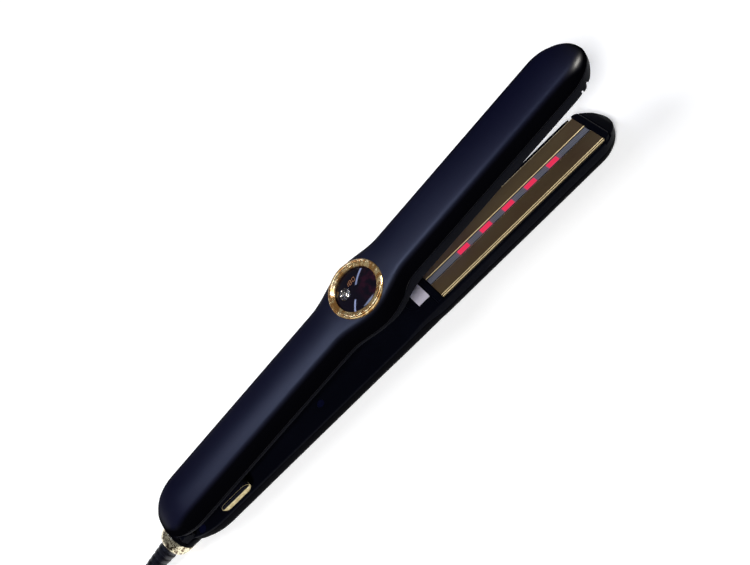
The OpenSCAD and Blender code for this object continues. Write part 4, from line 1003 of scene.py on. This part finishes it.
lamp_line = [(0, 0.15), (0.9, 0.15), (1.2, 0.3), (1.3, 0.6), (1.3, 1.2), (0, 1.2)]
lamp_dome = lathe(flat_place, [(r, plate_w1 + w) for r, w in lamp_line], 20, closed=False)
lamp_foot = block(flat_place, -lamp_hl, lamp_hl, -lamp_hw, lamp_hw, plate_w1 + 0.6, plate_w1 + 1.17)
lamp_finish = Finish("lit red lamp", Roughness=0.3, Emission_Strength=1.0)
spark = lamp_finish.noise(0.8, 2)
lamp_finish.set("Base Color", lamp_finish.mix(spark, (0.3, 0.01, 0.03), (0.6, 0.05, 0.1)))
lamp_finish.set("Emission Color", lamp_finish.mix(spark, (0.6, 0.02, 0.07), (0.9, 0.08, 0.15)))
lamp_row = in_rows(lower, together([lamp_dome, lamp_foot]), lamp_finish, lamp_count, 1,
                   (lamp_mid - (lamp_count - 1)/2*lamp_pitch, 0, 0), lamp_pitch, 0)
shown("strip_lamps", lamp_row, "lower_plates", lamp_finish, ["lamps"])

# Screw caps: small moulded discs, domed and blued, that close the screw wells of both
# inner covers.
cap_finish = Finish("blued cap plastic", Specular_IOR_Level=0.02)
cap_finish.grained(cap_finish.noise(0.3, 2), (0.002, 0.0025, 0.011), (0.004, 0.005, 0.022), 0.35, 0.15, 0.01)
cap_line = [(0, 3.66), (1.2, 3.67), (1.45, 3.72), (1.6, 3.68), (1.9, 3.72), (2.05, 3.8), (2.1, 3.9),
            (2.1, 4.05), (0, 4.05)]
cap_piece = lathe(flat_place, cap_line, 40, closed=False)
both_arms = (("lower", lower), ("upper", upper))
for side, place in both_arms:
    pairs = [in_rows(place, cap_piece.copy(), cap_finish, 1, 2, (x, -y, 0), 0, 2*y) for x, y in screw_pairs]
    shown(side + "_well_caps", together(pairs), side + "_arm", cap_finish,
          [side + "_screw_caps"])

# Cushions: four silicone studs under each heater tray, waisted so that they give, on which
# the plates float.
silicone = Finish("red silicone", Specular_IOR_Level=0.3)
silicone.grained(silicone.noise(0.5, 3), (0.16, 0.02, 0.012), (0.24, 0.04, 0.02), 0.5, 0.2, 0.02)
stud_w0, stud_w1, stud_r = 5.2, 6.75, 2.5
stud_x, stud_y, stud_gap = plate_x0 + 22, 6.5, 66
stud_edge_r = stud_r - 0.2
stud_line = [(0, stud_w0), (stud_edge_r, stud_w0), (stud_r, stud_w0 + 0.15), (stud_r, stud_w0 + 0.4),
             (stud_r - 0.35, stud_w0 + 0.78), (stud_r, stud_w1 - 0.4), (stud_r, stud_w1 - 0.15),
             (stud_edge_r, stud_w1), (0, stud_w1)]
stud = lathe(flat_place, stud_line, 32, closed=False)
for side, place in both_arms:
    studs = in_rows(place, stud.copy(), silicone, 2, 2, (stud_x, -stud_y, 0), stud_gap, 2*stud_y)
    held = shown(side + "_plate_studs", studs, side + "_arm", silicone, [side + "_cushions"])
    foot = place(0, 0, stud_w1)
    to_plates = (place(0, 0, 0) - foot).normalized()
    tuple(foot)
    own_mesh(held)

# Lock: a slider in the lower handle between two end caps, plated gold, their upper half painted
# with a dark reflection inside a thin gold highlight line. The caps of the hinge pin share the slider's
# plastic.
lock_gold = Finish("gold lock cap", Specular_IOR_Level=0.01)
oval_x, oval_w = lock_gold.axes("lower")[::2]
pill_w, pill_r, pill_rim = 0.1, 3.4, 0.32
past_end = ((oval_x - lock_x - lock_l/2).size() - lock_l/2 + pill_r).most(0)
from_axis = oval_w - pill_w
from_core = (past_end*past_end + from_axis*from_axis)**0.5
rim_r = pill_r - pill_rim
# Painted highlight and reflection: a thin gold line round the rim, and inside it the upper half coloured
# near-black, sunk a little, for the dark arm mirrored there.
outline = from_core.step(rim_r - 0.05, rim_r + 0.05)*from_core.step(pill_r - 0.1, pill_r - 0.2)
painted_reflection = from_axis.step(-0.2, -0.45)*(1 - outline)
plating = lock_gold.mix(lock_gold.noise(2, 2).step(0.35, 0.65), (0.54, 0.44, 0.22), (0.76, 0.65, 0.38))
lock_gold.set("Base Color", lock_gold.mix(painted_reflection, plating, (0.004, 0.004, 0.008)))
lock_gold.set("Metallic", 0.4*(1 - painted_reflection))
lock_gold.set("Roughness", 0.3 + 0.1*lock_gold.noise(0.4, 2))
lock_gold.bump(painted_reflection*-1, 0.08)
lock_gold.dress("lock_cap_near", "lock_cap_far")
frame_finish.dress("lock_slider", "hinge_caps")

# Collar: a turned brass ring, plated gold, with pale and dark brown patches painted on as
# reflections. It is pressed over the neck's spigot, round the swivel.
reflection_painted = Finish("worn gold plating", Metallic=0.9)
reflection_cloud = reflection_painted.noise(2.2, 3, bend=1.5)
# Painted reflections: the base colour runs in patches from dark brown to pale cream.
reflection_painted.set("Base Color", reflection_painted.mix(reflection_cloud.step(0.42, 0.56), (0.13, 0.08, 0.035), (0.95, 0.87, 0.62)))
reflection_painted.set("Roughness", 0.12 + 0.14*reflection_painted.noise(0.7, 3))
reflection_painted.bump(reflection_cloud, 0.12)
collar_r, collar_l = 8.8, 6.6
collar_line = [(6.0, 3.4), (7.05, 3.3), (7.05, 0.05), (collar_r - 0.3, 0.05), (collar_r, 0.5),
               (collar_r - 0.15, 3.0), (collar_r - 0.9, 5.3), (collar_r - 1.5, 6.1), (collar_r - 2, collar_l),
               (6.0, collar_l)]
shown("cord_collar_ring", lathe(neck, collar_line, 128), "lower_arm", reflection_painted, ["cord_collar"])

# Strain relief: a tapered rubber sleeve, ribbed so that it bends evenly. It is moulded
# round the cord and turns with it.
relief_s0, relief_l, relief_r, relief_tip_r = 6.7, 23.4, 5.2, 3.4
rib_count, plain_l = 6, 3


def relief_at(s):
    return relief_r + (relief_tip_r - relief_r)*s/relief_l


rib_pitch = (relief_l - plain_l)/rib_count
rib_line = ((0.0, 0.3), (0.05, 0.05), (0.15, 0), (0.45, 0), (0.55, 0.06), (0.6, 0.3), (0.66, 0.72),
            (0.72, 0.8), (0.9, 0.8), (0.96, 0.7))
relief_line = [(0, 0)]
for i in range(rib_count):
    for share, depth in rib_line:
        s = (i + share)*rib_pitch
        relief_line.append((relief_at(s) - depth, s))
relief_line += [(relief_at(relief_l - plain_l), relief_l - plain_l), (relief_tip_r + 0.1, relief_l - 0.4),
                (relief_tip_r - 0.2, relief_l), (0, relief_l)]
rubber = Finish("black rubber", Specular_IOR_Level=0.5)
rubber.grained(rubber.noise(0.5, 3), (0.002, 0.002, 0.004), (0.005, 0.005, 0.01), 0.26, 0.14, 0.015)
relief_mesh = lathe(neck, [(r, relief_s0 + s) for r, s in relief_line], 96, closed=False)
shown("ribbed_strain_relief", relief_mesh, "cord_swivel", rubber, ["strain_relief"])

# Swivel bush and cord socket: turned and moulded nylon. The bush sits in the neck, and the
# cord turns in it.
nylon = Finish("natural nylon", Specular_IOR_Level=0.4)
nylon.grained(nylon.noise(1.5, 3), (0.5, 0.48, 0.4), (0.62, 0.6, 0.52), 0.4, 0.2, 0.01)
nylon.dress("swivel_bush", "cord_socket")

# Steel parts: the hinge pin, its torsion spring, the screws and the staple of the lock,
# drawn or turned, with fine lines from the tool.
steel = Finish("turned steel", Metallic=1.0)
steel_y, steel_z = steel.axes()[1:]
tool_pitch = 0.5
tooled = (steel_z + 0.3*steel_y).wave(tool_pitch)*0.5 + 0.5
stain = steel.noise(2.5, 3)
steel.set("Base Color", steel.mix(stain, (0.42, 0.42, 0.44), (0.62, 0.62, 0.64)))
steel.set("Roughness", 0.22 + 0.15*tooled + 0.1*stain)
steel.bump(tooled, 0.05, 0.5)
steel.dress("hinge_pin", "lower_screws", "upper_screws", "lock_catch")
spring_x, spring_w = 9, 3
spring = shown("torsion_spring", merged("hinge_spring"), None, steel, ["hinge_spring"])
tuple(lower(spring_x, 0, spring_w))
tuple(upper(spring_x, 0, spring_w))
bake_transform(spring)

# Boards: glass-epoxy laminate under green mask, with tracks and holes in straight rows, for
# the power, the lamps and the display.
mask = Finish("green circuit board", Specular_IOR_Level=0.4)
board_x, board_y = mask.axes()[:2]
track_pitch, pad_pitch = 1.3, 2.6
across_rows = ((board_y*(1/track_pitch)).share() - 0.5).size()
along_rows = ((board_x*(1/pad_pitch)).share() - 0.5).size()
tracks = across_rows.step(0.3, 0.22)*mask.noise(6, 1, stretch=(0.3, 1, 1)).step(0.45, 0.5)
pads = across_rows.step(0.2, 0.12)*along_rows.step(0.14, 0.08)
laminate = mask.mix(tracks, (0.006, 0.045, 0.018), (0.02, 0.12, 0.04))
mask.set("Base Color", mask.mix(pads, laminate, (0.55, 0.5, 0.4)))
mask.set("Metallic", pads*0.8)
mask.set("Roughness", 0.35 + 0.15*tracks)
mask.bump(tracks + pads, 0.05, 0.5)
mask.dress("power_board", "lamp_board", "display_board")

# Electronic parts: bodies of moulded epoxy, dark and a little mottled, soldered to the
# boards; the thermal fuse and the heat sensor are potted in the same epoxy.
epoxy = Finish("moulded epoxy", Specular_IOR_Level=0.35)
epoxy.grained(epoxy.noise(0.25, 2), (0.012, 0.012, 0.014), (0.035, 0.032, 0.03), 0.45, 0.2, 0.01,
              tones=epoxy.noise(5, 2).step(0.45, 0.55))
epoxy.dress("power_parts", "display_parts", "thermal_fuse", "heat_sensor")

# Leads: stranded copper in red and white silicone sleeves, one colour on each side. Two
# of them cross the hinge.
sleeve = Finish("silicone lead sleeve", Specular_IOR_Level=0.3)
sleeve_y = sleeve.axes()[1]
sleeve.grained(sleeve.noise(0.6, 3), (0.35, 0.018, 0.015), (0.5, 0.48, 0.45), 0.45, 0.2, 0.02,
               tones=sleeve_y.step(-0.2, 0.2))
sleeve.dress("lower_leads", "upper_leads")
crossing = shown("leads_across_hinge", merged("hinge_leads"), None, sleeve, ["hinge_leads"])
tuple(lower(hinge_lead_x, 0, handle_face))
tuple(upper(hinge_lead_x, 0, handle_face))
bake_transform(crossing)

# Heaters: flat ceramic elements, fired white. They lie in pressed aluminium trays behind
# the plates.
ceramic = Finish("fired ceramic", Specular_IOR_Level=0.25)
ceramic.grained(ceramic.noise(0.4, 4), (0.56, 0.54, 0.5), (0.72, 0.7, 0.66), 0.6, 0.2, 0.02)
ceramic.dress("lower_heaters", "upper_heater")
pressed = Finish("pressed aluminium", Metallic=1.0)
rolled = pressed.noise(0.4, 3, stretch=(0.03, 1, 1))
pressed.grained(rolled, (0.55, 0.55, 0.56), (0.68, 0.68, 0.7), 0.28, 0.2, 0.01)
pressed.dress("lower_heater_tray", "upper_heater_tray")

# Label: a plain square of pale film, cut from a sheet. It is stuck flat to the tongue of
# the lower carrier.
film = Finish("pale film", Specular_IOR_Level=0.3)
film.grained(film.noise(0.7, 3), (0.55, 0.52, 0.61), (0.7, 0.66, 0.75), 0.35, 0.2, 0.01)
film.dress("sticker")
